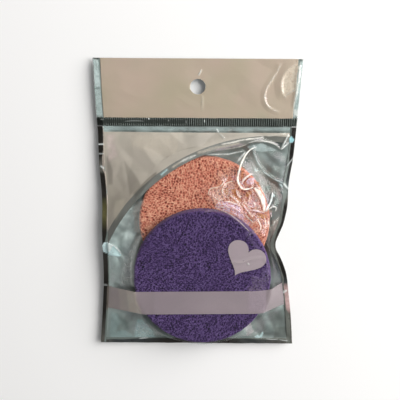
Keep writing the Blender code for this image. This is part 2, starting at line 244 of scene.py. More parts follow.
class Pocket:
    """A grid of points over the pocket, between the seals, and heights on it."""

    def __init__(self, cells):
        self.rows = np.linspace(POCKET_BOTTOM, POCKET_TOP, cells[1] + 1)
        self.left = inner_left(self.rows) - TUCK
        self.right = inner_right(self.rows) + TUCK
        shares = np.linspace(0, 1, cells[0] + 1)
        self.x = self.left[:, None] * (1 - shares) + self.right[:, None] * shares
        self.y = np.repeat(self.rows[:, None], cells[0] + 1, axis=1)
        self.height = None

    def at(self, x, y):
        """The height at points anywhere in the pocket."""
        height = self.height
        rows, columns = height.shape
        v = np.clip((y - self.rows[0]) / (self.rows[-1] - self.rows[0]), 0, 1) * (rows - 1)
        left = np.interp(y, self.rows, self.left)
        right = np.interp(y, self.rows, self.right)
        u = np.clip((x - left) / (right - left), 0, 1) * (columns - 1)
        i = np.minimum(v.astype(int), rows - 2)
        j = np.minimum(u.astype(int), columns - 2)
        v, u = v - i, u - j
        low = height[i, j] * (1 - u) + height[i, j + 1] * u
        high = height[i + 1, j] * (1 - u) + height[i + 1, j + 1] * u
        return low * (1 - v) + high * v

    def from_edge(self):
        """How far each point is from the nearest seal."""
        aside = np.minimum(self.x - self.left[:, None], self.right[:, None] - self.x)
        along = np.minimum(self.y - POCKET_BOTTOM, POCKET_TOP - self.y)
        return np.minimum(aside, along)


def near_disc(x, y, disc, reach):
    """True at each point within reach of a sponge's rim, somewhere on its way."""
    ahead = y - disc.centre[1]
    ahead = ahead - np.clip(ahead, disc.travel[0], disc.travel[1])
    return np.hypot(x - disc.centre[0], ahead / disc.longer) <= disc.radius + reach


def doubled(height):
    """Heights on a grid with twice as many cells each way."""
    rows, columns = height.shape
    finer = np.zeros((2 * rows - 1, 2 * columns - 1))
    finer[::2, ::2] = height
    finer[1::2, ::2] = (height[:-1] + height[1:]) / 2
    finer[:, 1::2] = (finer[:, :-2:2] + finer[:, 2::2]) / 2
    return finer


def around(height):
    """The mean of the four neighbours of each point inside a grid's border."""
    return (height[:-2, 1:-1] + height[2:, 1:-1] + height[1:-1, :-2] + height[1:-1, 2:]) / 4


def stretched(pocket, hold):
    """A film held at the seals and kept off the sponges, relaxed from coarse to fine grids."""
    height = None
    stride = COARSEST
    while stride:
        x, y = pocket.x[::stride, ::stride], pocket.y[::stride, ::stride]
        edge = seal_height(y)
        height = edge.copy() if height is None else doubled(height)
        height[0], height[-1] = edge[0], edge[-1]
        height[:, 0], height[:, -1] = edge[:, 0], edge[:, -1]
        for _ in range(PASSES[stride]):
            height[1:-1, 1:-1] = hold(x[1:-1, 1:-1], y[1:-1, 1:-1], around(height))
        stride //= 2
    return height


def softened(height, times):
    """Heights on a grid with their bends rounded, apart from the grid's border."""
    height = height.copy()
    for _ in range(times):
        height[1:-1, 1:-1] = (height[1:-1, 1:-1] + around(height)) / 2
    return height


def sponge_tops(x, y, reach, above):
    """The least height of a film that lies on the sponges."""
    least = np.where(near_disc(x, y, coral, reach), coral.high + above, 0)
    return np.where(near_disc(x, y, purple, reach), purple.high + above, least)


# A grid of facets: its table of random heights, its skew, which makes its triangles even, and
# how far and how fast its lines waver
FACET_TABLE = 64
FACET_SKEW = 0.366
FACET_BEND = 0.45
FACET_PACES = (1.9, 0.8, 1.7, 0.9)


def facets(x, y, size, seed):
    """Heights from -1 to 1 over flat triangles of about a size, as in a crumpled film."""
    chance = np.random.RandomState(seed)
    table = chance.uniform(-1, 1, (FACET_TABLE, FACET_TABLE))
    turns = chance.uniform(0, 2 * pi, 4)
    bend = FACET_BEND * size
    waves = [bend * np.sin(pace * along / size + turn)
             for pace, along, turn in zip(FACET_PACES, (y, x, x, y), turns)]
    warped_x = x + waves[0] + waves[1]
    warped_y = y + waves[2] + waves[3]
    skew = (warped_x + warped_y) * FACET_SKEW
    u, v = (warped_x + skew) / size, (warped_y + skew) / size
    i, j = np.floor(u).astype(int), np.floor(v).astype(int)
    u, v = u - i, v - j
    i, j, next_i, next_j = (k % FACET_TABLE for k in (i, j, i + 1, j + 1))
    corner, across = table[i, j], table[next_i, next_j]
    right, above = table[next_i, j], table[i, next_j]
    lower = corner * (1 - u) + right * (u - v) + across * v
    upper = corner * (1 - v) + above * (v - u) + across * u
    return np.where(u > v, lower, upper)


def crumpled(x, y, height, kinds, free=1.0):
    """Heights with kinds of crumpling added, each a facet size, a rise and a seed, and each as
    strong as the film is free."""
    for size, rise, seed in kinds:
        height = height + rise * free * facets(x, y, size, seed)
    return height


# A fold in a film: how high its crest stands, how wide its flanks are to the left and right of
# its way, all in mm, how strongly the highlight painted on its crest gleams, how wide the gleam
# is, its tint, from 0, mint, over 0.5, cream, and 1, lavender, to GOLD, a dark painted shade,
# and its way, as pixels of the photograph
Fold = namedtuple("Fold", "height left right gleam width tint path")
# A flat part of a film with painted light, which the shade tables use for painted shade: how
# strongly, its tint, its corners, as pixels, and how far inside them, in mm, it reaches its full
# strength
Patch = namedtuple("Patch", "gleam tint corners soft", defaults=(0.35,))
# The tint of a dark gold, painted as shade and reflection in the creased film
GOLD = 1.25
PLAIN_TINT = 0.35

# A fold's way is smoothed in steps, each of its ends tapers over a share of it, and its gleam
# fades out across its edges, which lie a little outside its width
WAY_STEP = 1.0 * MM
TAPERED_SHARE = 0.3
GLEAM_FADE = 0.35 * MM
GLEAM_SPREAD = 0.2 * MM
# How many times a pixel's place on a film is corrected for the film's height there
PLACE_ROUNDS = 4


def strokes(gleam, width, tint, *paths):
    """Folds that gleam and add no height."""
    return [Fold(0, 1, 1, gleam, width, tint, path) for path in paths]


def points_on(film, pixels):
    """The points of a film that the camera sees at pixels of the photograph."""
    points = []
    for column, row in pixels:
        height = FLAT_HEIGHT
        for _ in range(PLACE_ROUNDS):
            place = seen_at(column, row, height)
            height = float(film(np.array(place.x), np.array(place.y)))
        points.append((place.x, place.y))
    return np.array(points)


def fold_way(fold, film):
    """A fold's way on the film, as points, smoothed where it has three or more."""
    points = points_on(film, fold.path)
    if len(points) < 3:
        return points
    lengths = np.hypot(*np.diff(points, axis=0).T)
    along = np.append(0, np.cumsum(lengths))
    finer = np.linspace(0, along[-1], max(3, int(along[-1] / WAY_STEP)))
    return np.stack([curve_through(along, points[:, k])(finer) for k in (0, 1)], axis=1)


def from_segment(x, y, start, end):
    """For each point: how far along a segment its nearest point lies, as a share, and how far
    away that is. Also the segment's length."""
    (ax, ay), (bx, by) = start, end
    length = np.hypot(bx - ax, by - ay)
    t = np.clip(((x - ax) * (bx - ax) + (y - ay) * (by - ay)) / length**2, 0, 1)
    return t, np.hypot(x - ax - t * (bx - ax), y - ay - t * (by - ay)), length


def fold_shape(x, y, way, left, right):
    """For each point: its share of the flank's width from the way, 0 on it and 1 or more off
    the flank, its distance from the way, and a taper that falls to 0 at the way's ends."""
    nearest = np.full(x.shape, np.inf)
    side = np.zeros(x.shape)
    travelled = np.zeros(x.shape)
    start = 0.0
    for (ax, ay), (bx, by) in zip(way, way[1:]):
        t, away, length = from_segment(x, y, (ax, ay), (bx, by))
        closer = away < nearest
        nearest = np.where(closer, away, nearest)
        turn = (bx - ax) * (y - ay) - (by - ay) * (x - ax)
        side = np.where(closer, turn, side)
        travelled = np.where(closer, start + t * length, travelled)
        start += length
    share = nearest / np.where(side > 0, left, right)
    taper = np.minimum(np.minimum(travelled, start - travelled) / (TAPERED_SHARE * start), 1)
    return share, nearest, np.sqrt(np.clip(taper, 0, 1))


def depth_inside(x, y, corners):
    """How far inside a polygon each point lies: 0 outside it."""
    within = np.zeros(x.shape, bool)
    nearest = np.full(x.shape, np.inf)
    for (ax, ay), (bx, by) in zip(corners, np.roll(corners, -1, axis=0)):
        within ^= ((ay > y) != (by > y)) & (x < ax + (y - ay) * (bx - ax) / ((by - ay) or MM))
        nearest = np.minimum(nearest, from_segment(x, y, (ax, ay), (bx, by))[1])
    return np.where(within, nearest, 0)


class Relief:
    """What folds and patches do to a film: the height they add, their painted light or shade, and its tint."""

    def __init__(self, x, y, film):
        self.x, self.y, self.film = x, y, film
        self.added = np.zeros(x.shape)
        self.gleam = np.zeros(x.shape)
        self.tint = np.full(x.shape, PLAIN_TINT)

    def shine(self, near, gleam, tint):
        """Let a gleam show wherever it is the strongest."""
        stronger = gleam > self.gleam[near]
        self.gleam[near] = np.where(stronger, gleam, self.gleam[near])
        self.tint[near] = np.where(stronger, tint, self.tint[near])

    def near(self, way, reach):
        """Which points are in a box about a way."""
        low, high = way.min(axis=0) - reach, way.max(axis=0) + reach
        x, y = self.x, self.y
        return (x > low[0]) & (x < high[0]) & (y > low[1]) & (y < high[1])

    def fold(self, fold):
        way = fold_way(fold, self.film)
        near = self.near(way, max(fold.left, fold.right, fold.width) * MM)
        x, y = self.x[near], self.y[near]
        share, away, taper = fold_shape(x, y, way, fold.left * MM, fold.right * MM)
        self.added[near] += fold.height * MM * taper * np.clip(1 - share, 0, 1)
        half = fold.width * MM / 2
        crest = smooth_step(0, GLEAM_FADE, half * taper - away + GLEAM_SPREAD)
        self.shine(near, fold.gleam * crest, fold.tint)

    def patch(self, patch):
        corners = points_on(self.film, patch.corners)
        near = self.near(corners, 0)
        depth = depth_inside(self.x[near], self.y[near], corners)
        self.shine(near, patch.gleam * smooth_step(0, patch.soft * MM, depth), patch.tint)

    def add(self, marks):
        for mark in marks:
            if isinstance(mark, Fold):
                self.fold(mark)
            else:
                self.patch(mark)
        return self


# The folds and the gleaming parts that the photograph shows in the pocket's front film. The
# gleams are painted highlights and reflections, some lighten parts that lie in shade, and the
# gold ones are painted shade
POCKET_FOLDS = (
    Fold(0.9, 1.2, 3.0, 0.75, 0.8, 0.4, (
        (219.8, 144.4), (232.3, 142.2), (241.1, 140), (251.4, 138.6), (263.1, 137.5),
    )),
    Fold(0.3, 1.2, 2.0, 0.35, 0.7, 0.4, ((266, 136.7), (275, 135), (284.4, 133.8))),
    Fold(0.6, 1.0, 1.6, 0.65, 0.7, 0.35, (
        (247.7, 143), (254, 141), (262.4, 140.8), (269.7, 142.2), (275.6, 144.4), (280.7, 149.6),
    )),
    Fold(0.7, 1.2, 1.2, 0.7, 0.9, 0.3, ((280.7, 149.6), (284.4, 142.6), (288.4, 134.2))),
    Fold(0.5, 1.0, 1.0, 0.8, 0.8, 0.3, ((281, 149.6), (285.5, 145.5), (288.8, 142.6))),
    Fold(0.3, 1.2, 1.2, 0.5, 0.6, 0.3, (
        (206, 154.3), (219, 154.3), (229.3, 154), (235.2, 152.5), (245.5, 150.7),
    )),
    Fold(0.3, 1.0, 1.0, 0.35, 0.6, 0.4, (
        (224.2, 149.2), (230.8, 148.5), (240.4, 146.3), (247.7, 144),
    )),
    Fold(0.8, 1.6, 1.0, 0.55, 1.0, 0.3, ((245.5, 151.4), (241.1, 156.5), (236.7, 162.4))),
    Fold(1.2, 1.4, 2.2, 0.95, 1.0, 0.4, (
        (255.8, 147), (250.6, 149.2), (246.2, 153.6), (243.3, 158.7), (241.1, 163.2), (239.3, 169),
        (237.8, 174.9), (237.8, 180.8), (240, 185.9), (243.3, 188.8), (247.7, 188.8),
        (252.8, 187.4),
    )),
    Fold(1.1, 2.8, 1.0, 0.5, 0.6, 0.5, (
        (253.6, 187.7), (255.8, 190.3), (258.2, 194), (260.9, 199.8), (262.6, 205.7), (264, 211.4),
    )),
    Fold(0.8, 1.0, 1.6, 0.9, 1.2, 0.6, (
        (252.1, 173.4), (247, 176.4), (243.3, 180), (241.5, 183.7),
    )),
    Fold(0.25, 1.8, 3.0, 0.45, 0.6, 0.15, (
        (262.4, 170.5), (268.2, 174.9), (273.4, 178.6), (279.2, 181.5), (286, 184.5),
    )),
    Fold(0.3, 1.4, 1.4, 0.4, 0.6, 0.15, ((252.8, 149.9), (255, 155.8), (258, 163.2), (262.4, 169))),
    Fold(0.9, 1.2, 2.2, 0.8, 1.1, 0.25, (
        (264.6, 211.6), (268.2, 205.7), (270.8, 200.6), (272.6, 192.5),
    )),
    Fold(0.6, 1.2, 1.2, 0.6, 0.7, 0.35, (
        (265.3, 211.6), (269.7, 207.9), (274.1, 206.1), (276.3, 207.9), (274.8, 211.6),
    )),
    Fold(0.8, 1.2, 1.6, 0.5, 0.7, 0.7, ((248.9, 209), (255.8, 209.8), (264.6, 212.3))),
    Fold(0.4, 1.0, 1.6, 0.6, 0.55, 0.65, (
        (214.7, 207.9), (222, 210.2), (229.4, 214), (237, 219.4), (244, 226), (250, 232),
    )),
    Fold(0.3, 1.0, 1.0, 0.55, 0.5, 0.65, ((226, 205.6), (234, 208), (241, 213.5), (247.5, 220))),
    Fold(0.3, 1.0, 1.0, 0.5, 0.5, 0.5, ((241.9, 198.8), (246, 204), (250, 208.5))),
    Fold(0.3, 1.0, 1.0, 0.5, 0.5, 0.6, ((211, 194), (217, 199), (224, 201.6))),
    Fold(0.5, 1.2, 1.2, 0.5, 0.7, 0.5, (
        (225.7, 179.3), (220.5, 185.9), (209.5, 189.6), (208.1, 195.4),
    )),
    Fold(0.5, 1.2, 1.2, 0.5, 0.7, 0.5, (
        (235.2, 180.8), (230.8, 181.5), (225.7, 183.7), (222, 191), (223.5, 195.4),
    )),
    Fold(0.5, 1.2, 1.2, 0.5, 0.6, 0.45, ((236.7, 189.6), (236.7, 194), (240.4, 198.4))),
    Fold(0.6, 1.2, 1.2, 0.5, 0.6, 0.5, ((229.3, 194.7), (234.5, 199.1), (239.6, 203.5))),
    Fold(0.5, 1.0, 1.0, 0.75, 0.6, 0.55, (
        (224.2, 201.4), (229.4, 201.5), (234, 203.4), (241, 205.8),
    )),
    Fold(0.4, 0.9, 0.9, 0.65, 0.5, 0.5, (
        (214.5, 206), (221, 206.5), (228.5, 210), (236, 215), (242, 220),
    )),
    Fold(0.3, 0.8, 0.8, 0.7, 0.4, 0.45, ((217, 203), (223, 204.2), (231, 208.4))),
    Fold(0.3, 0.8, 0.8, 0.6, 0.4, 0.5, ((219.5, 199.6), (216, 205.5))),
    Fold(0.4, 0.8, 0.8, 0.7, 0.45, 0.5, ((241.1, 202), (244.5, 207), (247.5, 211), (252.9, 216.8))),
    Fold(0.3, 0.8, 0.8, 0.65, 0.5, 0.4, ((244.5, 213.5), (248, 217.4), (254.5, 223))),
    Fold(0.3, 0.8, 0.8, 0.7, 0.6, 0.35, ((253.4, 201.6), (255.2, 205.6))),
    Fold(0.3, 0.8, 0.8, 0.6, 0.5, 0.45, ((262.5, 214.5), (265.4, 221), (266, 229))),
    Fold(0.3, 0.8, 0.8, 0.55, 0.45, 0.5, ((246.5, 191.5), (249.5, 197.5), (247.5, 202.5))),
    Fold(0.4, 1.0, 1.0, 0.35, 0.5, 0.75, ((221, 207), (230, 207.5), (240, 211))),
    Fold(0.4, 1.0, 1.0, 0.35, 0.6, 0.8, ((229, 211.5), (239, 216), (248, 223.5))),
    Fold(0.5, 1.2, 1.2, 0.4, 0.6, 0.7, ((243.3, 205), (247, 209.4), (251.4, 211.6))),
    Fold(0.4, 1.2, 1.2, 0.6, 0.8, 0.4, ((257.2, 218.2), (260.9, 227.7), (260.2, 230.6))),
    Fold(0.4, 1.2, 1.2, 0.4, 0.6, 0.4, ((268.2, 218.9), (269.7, 227.7))),
    Fold(0.4, 1.2, 1.2, 0.5, 0.7, 0.5, ((270.4, 210.8), (271.5, 217.4))),
    Fold(0.6, 1.2, 1.2, 0.4, 0.6, 0.2, ((281.4, 190.3), (285.1, 195.4), (287.3, 202))),
    Fold(0.5, 1.0, 1.0, 0.2, 0.7, 0.4, ((281.4, 216), (277, 220.4), (271.9, 227.7))),
    Fold(0.5, 1.0, 1.0, 0.5, 0.7, 0.4, (
        (280.7, 222.6), (276.3, 229.2), (273.6, 236), (274.4, 248), (276, 255), (279, 262),
        (282, 271),
    )),
    Fold(0.3, 0.8, 0.8, 0.6, 0.6, 0.3, ((216.1, 128.3), (217.6, 130.9), (219.2, 133.4))),
    Fold(0.2, 0.8, 0.8, 0.3, 0.6, 0.3, ((219.2, 133.4), (222, 136), (225, 139.3))),
    Fold(0.4, 0.8, 0.8, 0.45, 0.7, 0.3, ((284, 167.5), (288.8, 166.8), (291.7, 159.5))),
    Fold(2.6, 8.0, 1.0, 0.9, 1.2, 0.2, ((105.8, 242), (106, 248), (105.6, 255.5))),
    Fold(0.5, 1.2, 1.2, 0.9, 0.7, 0.3, ((106, 243), (114.9, 245.7), (121.8, 254.1))),
    Fold(0.4, 1.0, 1.0, 0.9, 0.7, 0.3, ((107, 253.8), (114, 254.2), (120.3, 256))),
    Fold(0.3, 1.6, 1.6, 0.12, 0.8, 0.4, ((230, 262), (240, 262.5), (248, 260), (262, 257))),
    Fold(0.2, 0.8, 0.8, 0.5, 0.9, 0.35, ((247.2, 263.4), (249.4, 264.6))),
    Fold(0.3, 1.6, 1.6, 0.16, 1.2, 0.95, ((264.5, 258), (267.5, 266), (268, 284))),
    Patch(0.1, 1.0, ((262, 268), (269.6, 268), (269.6, 284), (263.4, 280), (260, 273)), 0.9),
    Patch(0.12, 0.95, ((250, 274), (269, 276), (268, 290), (250, 290)), 2.2),
    Patch(0.06, 0.95, ((240, 228), (250, 232), (262, 247), (258, 256), (247, 240)), 2.0),
    Patch(0.4, 1.0, ((248, 233), (250, 232.6), (250.6, 235), (248.6, 235.6)), 0.3),
    Fold(0.3, 1.6, 1.6, 0.6, 1.2, 0.35, ((180, 162.2), (188, 158.4), (196, 155))),
    Patch(0.24, 0.8, ((244.2, 328), (250.8, 321.6), (254.7, 331.8), (247, 336)), 0.8),
    Patch(0.07, 0.1, (
        (262, 311), (268.5, 308), (271, 322), (274, 333), (266, 334), (262, 320),
    ), 1.2),
    Patch(0.2, 0.2, (
        (124, 228), (140, 193), (149, 181), (149, 187), (141, 203), (138, 216), (139, 234),
        (133, 246), (128, 262), (121, 254), (119, 243),
    ), 2.6),
    Patch(0.12, 0.1, ((110, 233), (119, 236), (123, 256), (111, 274), (109.5, 274)), 1.5),
    Patch(0.13, 0.25, ((110, 272), (123, 258), (130, 268), (128, 284), (110, 284)), 2.5),
    Patch(0.27, 0.3, (
        (118, 266), (126, 250), (136, 232), (146, 232), (139, 250), (136, 264), (135.5, 288),
        (118, 287),
    ), 3.2),
    Patch(0.24, 0.35, (
        (131, 206), (140, 198), (146, 198), (142, 214), (143, 236), (131, 234),
    ), 2.4),
    Patch(0.12, 0.9, ((246, 284), (269, 284), (269, 312), (246, 314)), 3.0),
    Patch(0.08, 0.1, (
        (276, 176), (287, 180), (288, 200), (286, 214), (281, 218), (281, 204), (279, 192),
    ), 1.5),
    Patch(0.09, 0.0, (
        (269, 194), (276, 190), (284, 198), (285, 206), (282, 216), (276, 223), (271, 221),
    ), 1.2),
    Patch(0.12, 0.35, (
        (271, 219), (282, 216), (280, 232), (276, 248), (270, 246), (272, 232),
    ), 1.4),
    Patch(0.12, 0.0, ((109.5, 310.5), (119, 313), (121, 322), (114, 338), (109, 338)), 1.2),
    Patch(0.3, 0.0, ((136, 318), (142, 318), (154, 330), (157, 338), (133, 338), (134, 326)), 1.6),
    Patch(0.16, 0.0, ((109, 333), (124, 329), (134, 335), (134, 341), (109, 342)), 1.2),
    Patch(0.05, 0.1, ((264, 153), (280, 154), (284, 164), (270, 168), (259, 158)), 1.4),
    Patch(0.85, 0.05, ((289.1, 138.2), (291.3, 135.6), (293.4, 139.7), (292, 143), (289.1, 142.2))),
    Patch(0.35, 0.1, ((232.5, 159.5), (236, 161), (240.5, 158), (243, 153.5), (237.5, 163.3))),
    Patch(0.8, 0.6, (
        (253.6, 187.2), (259.2, 189.4), (263, 193.8), (265.2, 199.4), (265.6, 204.2),
        (264.8, 210.8), (263.6, 211.6), (261.7, 205.7), (259.8, 200), (257, 194.6), (255, 191),
    ), 0.15),
    Patch(0.7, 0.15, ((272.3, 191.8), (275.6, 196.2), (273.4, 197.3))),
    Patch(0.8, 0.85, (
        (249.9, 208.6), (254.3, 208.6), (262.4, 211.2), (261.6, 212.3), (255.8, 211.6),
    )),
    Patch(0.4, 0.1, (
        (250.6, 159.5), (252.8, 161), (255.8, 168.3), (261.6, 171.2), (254.3, 171.6),
        (253.9, 166.1),
    )),
    Patch(0.65, 0.15, ((277.8, 183), (287.3, 185.9), (287.3, 190.3), (283.6, 189.6))),
    Patch(0.52, 0.93, (
        (216.1, 201.3), (224.2, 200.6), (235.2, 202), (241.1, 205), (241.1, 213), (251.4, 222.6),
        (248.4, 227), (241.1, 220.4), (231.5, 213.8), (222, 210.8), (214.7, 207.2),
    ), 0.8),
    Patch(0.22, 0.95, ((231.5, 176), (238, 173.4), (237, 181), (232.5, 181.5))),
    Patch(0.55, GOLD, (
        (229.4, 188), (236, 188.5), (238, 195), (243, 200), (239.5, 203), (233, 197),
    ), 0.4),
    Patch(0.75, GOLD, ((246, 191), (252, 189.4), (251.5, 194), (247.5, 199), (244.8, 197)), 0.4),
    Patch(0.5, GOLD, ((269.4, 210), (272.4, 210.4), (271.6, 217), (269, 217.6)), 0.3),
    Patch(0.8, GOLD, ((255, 213.6), (263, 213), (268, 215), (266, 219.4), (257, 219)), 0.5),
    Patch(0.5, GOLD, ((224, 187), (228.4, 186.6), (229, 195), (225, 196), (222.6, 192)), 0.4),
    Patch(0.5, GOLD, ((241, 165), (245.6, 166), (244.6, 176), (241.4, 182), (239.8, 176)), 0.5),
    Patch(0.85, GOLD, ((255, 180), (259.6, 182), (263, 190), (260, 188.6), (256, 184.6)), 0.3),
    *strokes(
        0.75, 0.5, GOLD, ((229.3, 191.6), (232.5, 195.5), (236.6, 199.6)),
        ((243.6, 186.4), (248, 186.6), (252.4, 185.4)), ((244, 206), (249.5, 210.6), (256, 212.8)),
        ((240, 206.5), (243.5, 211.5), (246, 214)),
    ),
    *strokes(
        0.9, 0.4, GOLD, ((223.5, 203.8), (229, 206.3), (237, 207.3)),
        ((225, 208), (232, 211.6), (241, 218.4)), ((237, 210), (242, 214.6), (248, 221.4)),
        ((228, 203), (236, 204.6), (240, 203.6)),
    ),
    *strokes(0.9, 0.5, GOLD, ((240.5, 181), (242.5, 185.8), (244.5, 187.4))),
    Patch(0.16, 0.62, (
        (209.2, 190.4), (215.3, 186.8), (228.6, 180.7), (235.7, 181.7), (236.7, 189.4),
        (229.6, 192.4), (226.5, 197.6), (215.3, 205.7), (211.7, 202.7), (207.7, 195.5),
    ), 1.2),
    Patch(0.14, 0.75, (
        (204, 210.5), (214, 208.6), (224, 211.5), (222, 213), (214, 211.6), (205, 213),
    ), 0.5),
    Patch(0.16, 1.0, ((246.6, 231), (249, 229), (251.6, 233), (250.6, 237), (247.8, 237)), 0.4),
    Patch(0.07, 0.5, ((214, 170), (234, 166), (236, 178), (226, 181), (214, 181)), 2.0),
    Patch(0.6, 0.88, (
        (245.5, 182), (248.4, 177.9), (255.8, 176.4), (253.6, 184.5), (247.7, 185.5),
    )),
    Patch(0.3, 0.85, ((247, 201), (252, 199.5), (256, 202), (254, 208), (248, 207))),
    Patch(0.25, 0.15, ((246.5, 146), (262, 143), (278, 150.5), (262, 152), (250, 150))),
    Patch(0.2, 0.8, ((219, 146.5), (240, 142.5), (246, 144), (232, 149), (212, 152))),
    Patch(0.6, 0.05, ((158.5, 174.5), (166.5, 167.5), (169.5, 170), (161.5, 177)), 1.2),
    Patch(0.35, 0.5, ((170, 167), (184, 157.5), (186, 160), (173, 169.5)), 0.8),
    Patch(0.3, 0.5, (
        (196, 151.5), (214, 146.2), (240, 141.5), (240, 144.5), (216, 149.6), (198, 155),
    ), 0.5),
    Patch(1.8, 0.22, ((103, 243.4), (108, 241.6), (113.5, 244.8), (110.5, 251), (103, 252)), 0.2),
    Patch(1.5, 0.08, (
        (103.3, 243.6), (108, 242.4), (114.9, 245.4), (122, 254.1), (120.5, 256.6), (103.3, 255),
    )),
    Patch(0.22, 0.15, ((99, 126), (294, 127.6), (293.5, 131), (102, 130.4))),
    Patch(0.22, 0.75, ((104, 132), (116, 132), (120, 158), (106, 165)), 3.0),
    Patch(0.2, 0.5, ((124, 131), (182, 131), (180, 156), (158, 160), (130, 148)), 4.0),
    Patch(0.8, 0.1, ((253.4, 336.6), (257.5, 334.6), (261.5, 337.4), (256, 339.2))),
    Patch(0.7, 0.05, ((258.8, 336.4), (262.6, 331.4), (263.8, 333.2), (261.6, 338.6))),
    Fold(0.2, 0.8, 0.8, 0.8, 0.5, 0.4, ((265.7, 338), (272, 338.6), (278, 338.4), (283, 339.4))),
)

# Shaded parts of the back web
BACK_SHADES = (
    Patch(0.66, 0, ((273, 326), (290, 324), (290, 339), (272, 340)), 1.5),
    Patch(0.42, 0, ((248, 318), (262, 312), (289, 306), (289, 338), (244, 338)), 2.0),
    Patch(0.3, 0, ((125, 313), (136, 313), (134, 321), (126, 326), (122, 320)), 1.5),
    Patch(0.2, 0, ((262, 140), (291, 140), (290, 170), (276, 170), (256, 152)), 2.5),
    Patch(0.55, 0, ((264, 178), (276, 186), (281, 200), (282, 214), (276, 222), (264, 218)), 1.6),
)

# The crumpled area over the coral sponge's right part, as pixels, and its net of flat facets:
# how far apart their corners lie, as what share of that they stray, how far they lift the film,
# the most painted sheen on each one and its tints
CRUMPLED = (
    (204, 196), (210, 186), (226, 176), (236, 170), (240, 160), (250, 160), (260, 178), (266, 196),
    (269, 206), (270, 222), (268, 240), (256, 232), (240, 219), (214, 208),
)
NET_SPACING = 3.4 * MM
NET_STRAY = 0.42
NET_RISE = 0.75 * MM
NET_GLEAM = 0.13
NET_TINTS = (0.1, 1)
NET_SEED = 11
NET_MERGE = 1e-7


def crumple_net(relief):
    """A net of flat triangles in the crumpled area: random heights at its corners, none at those
    around it, and a random painted sheen on each triangle."""
    chance = np.random.RandomState(NET_SEED)
    outline = points_on(relief.film, CRUMPLED)
    low = outline.min(axis=0) - 2 * NET_SPACING
    high = outline.max(axis=0) + 2 * NET_SPACING
    across, along = np.meshgrid(*(np.arange(low[k], high[k], NET_SPACING) for k in (0, 1)))
    across = across + NET_STRAY * NET_SPACING * chance.uniform(-1, 1, across.shape)
    along = along + NET_STRAY * NET_SPACING * chance.uniform(-1, 1, across.shape)
    rises = chance.uniform(0, NET_RISE, across.shape) * (depth_inside(across, along, outline) > 0)
    corners = [Vector(corner) for corner in zip(across.ravel(), along.ravel())]
    found = delaunay_2d_cdt(corners, [], [], 0, NET_MERGE)
    rises = [rises.ravel()[source[0]] for source in found[3]]
    for triangle in found[2]:
        triangle = list(triangle)
        a, b, c = (found[0][k] for k in triangle)
        near = relief.near(np.array([a, b, c]), 0)
        x, y = relief.x[near], relief.y[near]
        area = (b.x - a.x) * (c.y - a.y) - (c.x - a.x) * (b.y - a.y)
        share_b = ((x - a.x) * (c.y - a.y) - (c.x - a.x) * (y - a.y)) / area
        share_c = ((b.x - a.x) * (y - a.y) - (x - a.x) * (b.y - a.y)) / area
        shares = np.stack([1 - share_b - share_c, share_b, share_c])
        within = shares.min(axis=0) >= 0
        heights = [rises[k] for k in triangle]
        gleam, tint = NET_GLEAM * chance.uniform() ** 2, chance.uniform(*NET_TINTS)
        relief.added[near] += np.where(within, np.tensordot(heights, shares, 1), 0)
        relief.shine(near, np.where(within & (max(heights) > 0), gleam, 0), tint)


# Each kind of crumpling of the two films: its size, its rise and its seed
FRONT_FACETS = ((15.0 * MM, 0.65 * MM, 3), (7.0 * MM, 0.1 * MM, 5))
BACK_FACETS = ((14.0 * MM, 1.7 * MM, 8), (6.0 * MM, 0.55 * MM, 9))
# How far off the sponges, and in from the seals, a film is wholly free, and how free it is
# where it lies on them
FREE_RISE = 1.5 * MM
EDGE_FADE = 5.0 * MM
TAUT_SHARE = 0.12
# The films' least gap, how far in from the seals it and the folds are whole, and how many
# times the front film is softened
WEB_GAP = 0.2 * MM
FOLD_FADE = 1.0 * MM
SOFTENINGS = 24
# The metallised film's painted light and shade: the size, seed, middle and reach of its lighter and darker facets
TONE_FACETS, TONE_SEED = 11.0 * MM, 61
TONE_MIDDLE, TONE_REACH = 0.2, 0.3


def make_front_field(behind):
    """The front film's grid and heights, and its relief."""
    pocket = Pocket(FRONT_CELLS)

    def hold(x, y, height):
        return np.maximum(height, sponge_tops(x, y, STANDOFF, FILM_ABOVE_SPONGE))

    base = softened(stretched(pocket, hold), SOFTENINGS)
    pocket.height = base
    x, y, inside = pocket.x, pocket.y, pocket.from_edge()
    resting = sponge_tops(x, y, STANDOFF, FILM_ABOVE_SPONGE)
    free = np.maximum(smooth_step(0, FREE_RISE, base - resting), TAUT_SHARE)
    height = crumpled(x, y, base, FRONT_FACETS, free * smooth_step(0, EDGE_FADE, inside))
    relief = Relief(x, y, pocket.at)
    crumple_net(relief)
    relief.add(POCKET_FOLDS)
    inward = smooth_step(0, FOLD_FADE, inside)
    least = sponge_tops(x, y, STANDOFF / 2, FILM_ABOVE_SPONGE / 2)
    least = np.maximum(least, behind.at(x, y) + WEB_GAP * inward)
    pocket.height = np.maximum(height + relief.added * inward, least)
    return pocket, relief


def make_back_field():
    """The back film's grid and heights."""
    pocket = Pocket(BACK_CELLS)
    floor_height = coral.low / 2

    def hold(x, y, height):
        return np.where(near_disc(x, y, coral, STANDOFF), floor_height, height)

    base = stretched(pocket, hold)
    free = smooth_step(0, FREE_RISE, base - floor_height)
    free = free * smooth_step(0, EDGE_FADE, pocket.from_edge())
    height = crumpled(pocket.x, pocket.y, base, BACK_FACETS, free)
    pocket.height = np.maximum(height, floor_height)
    return pocket


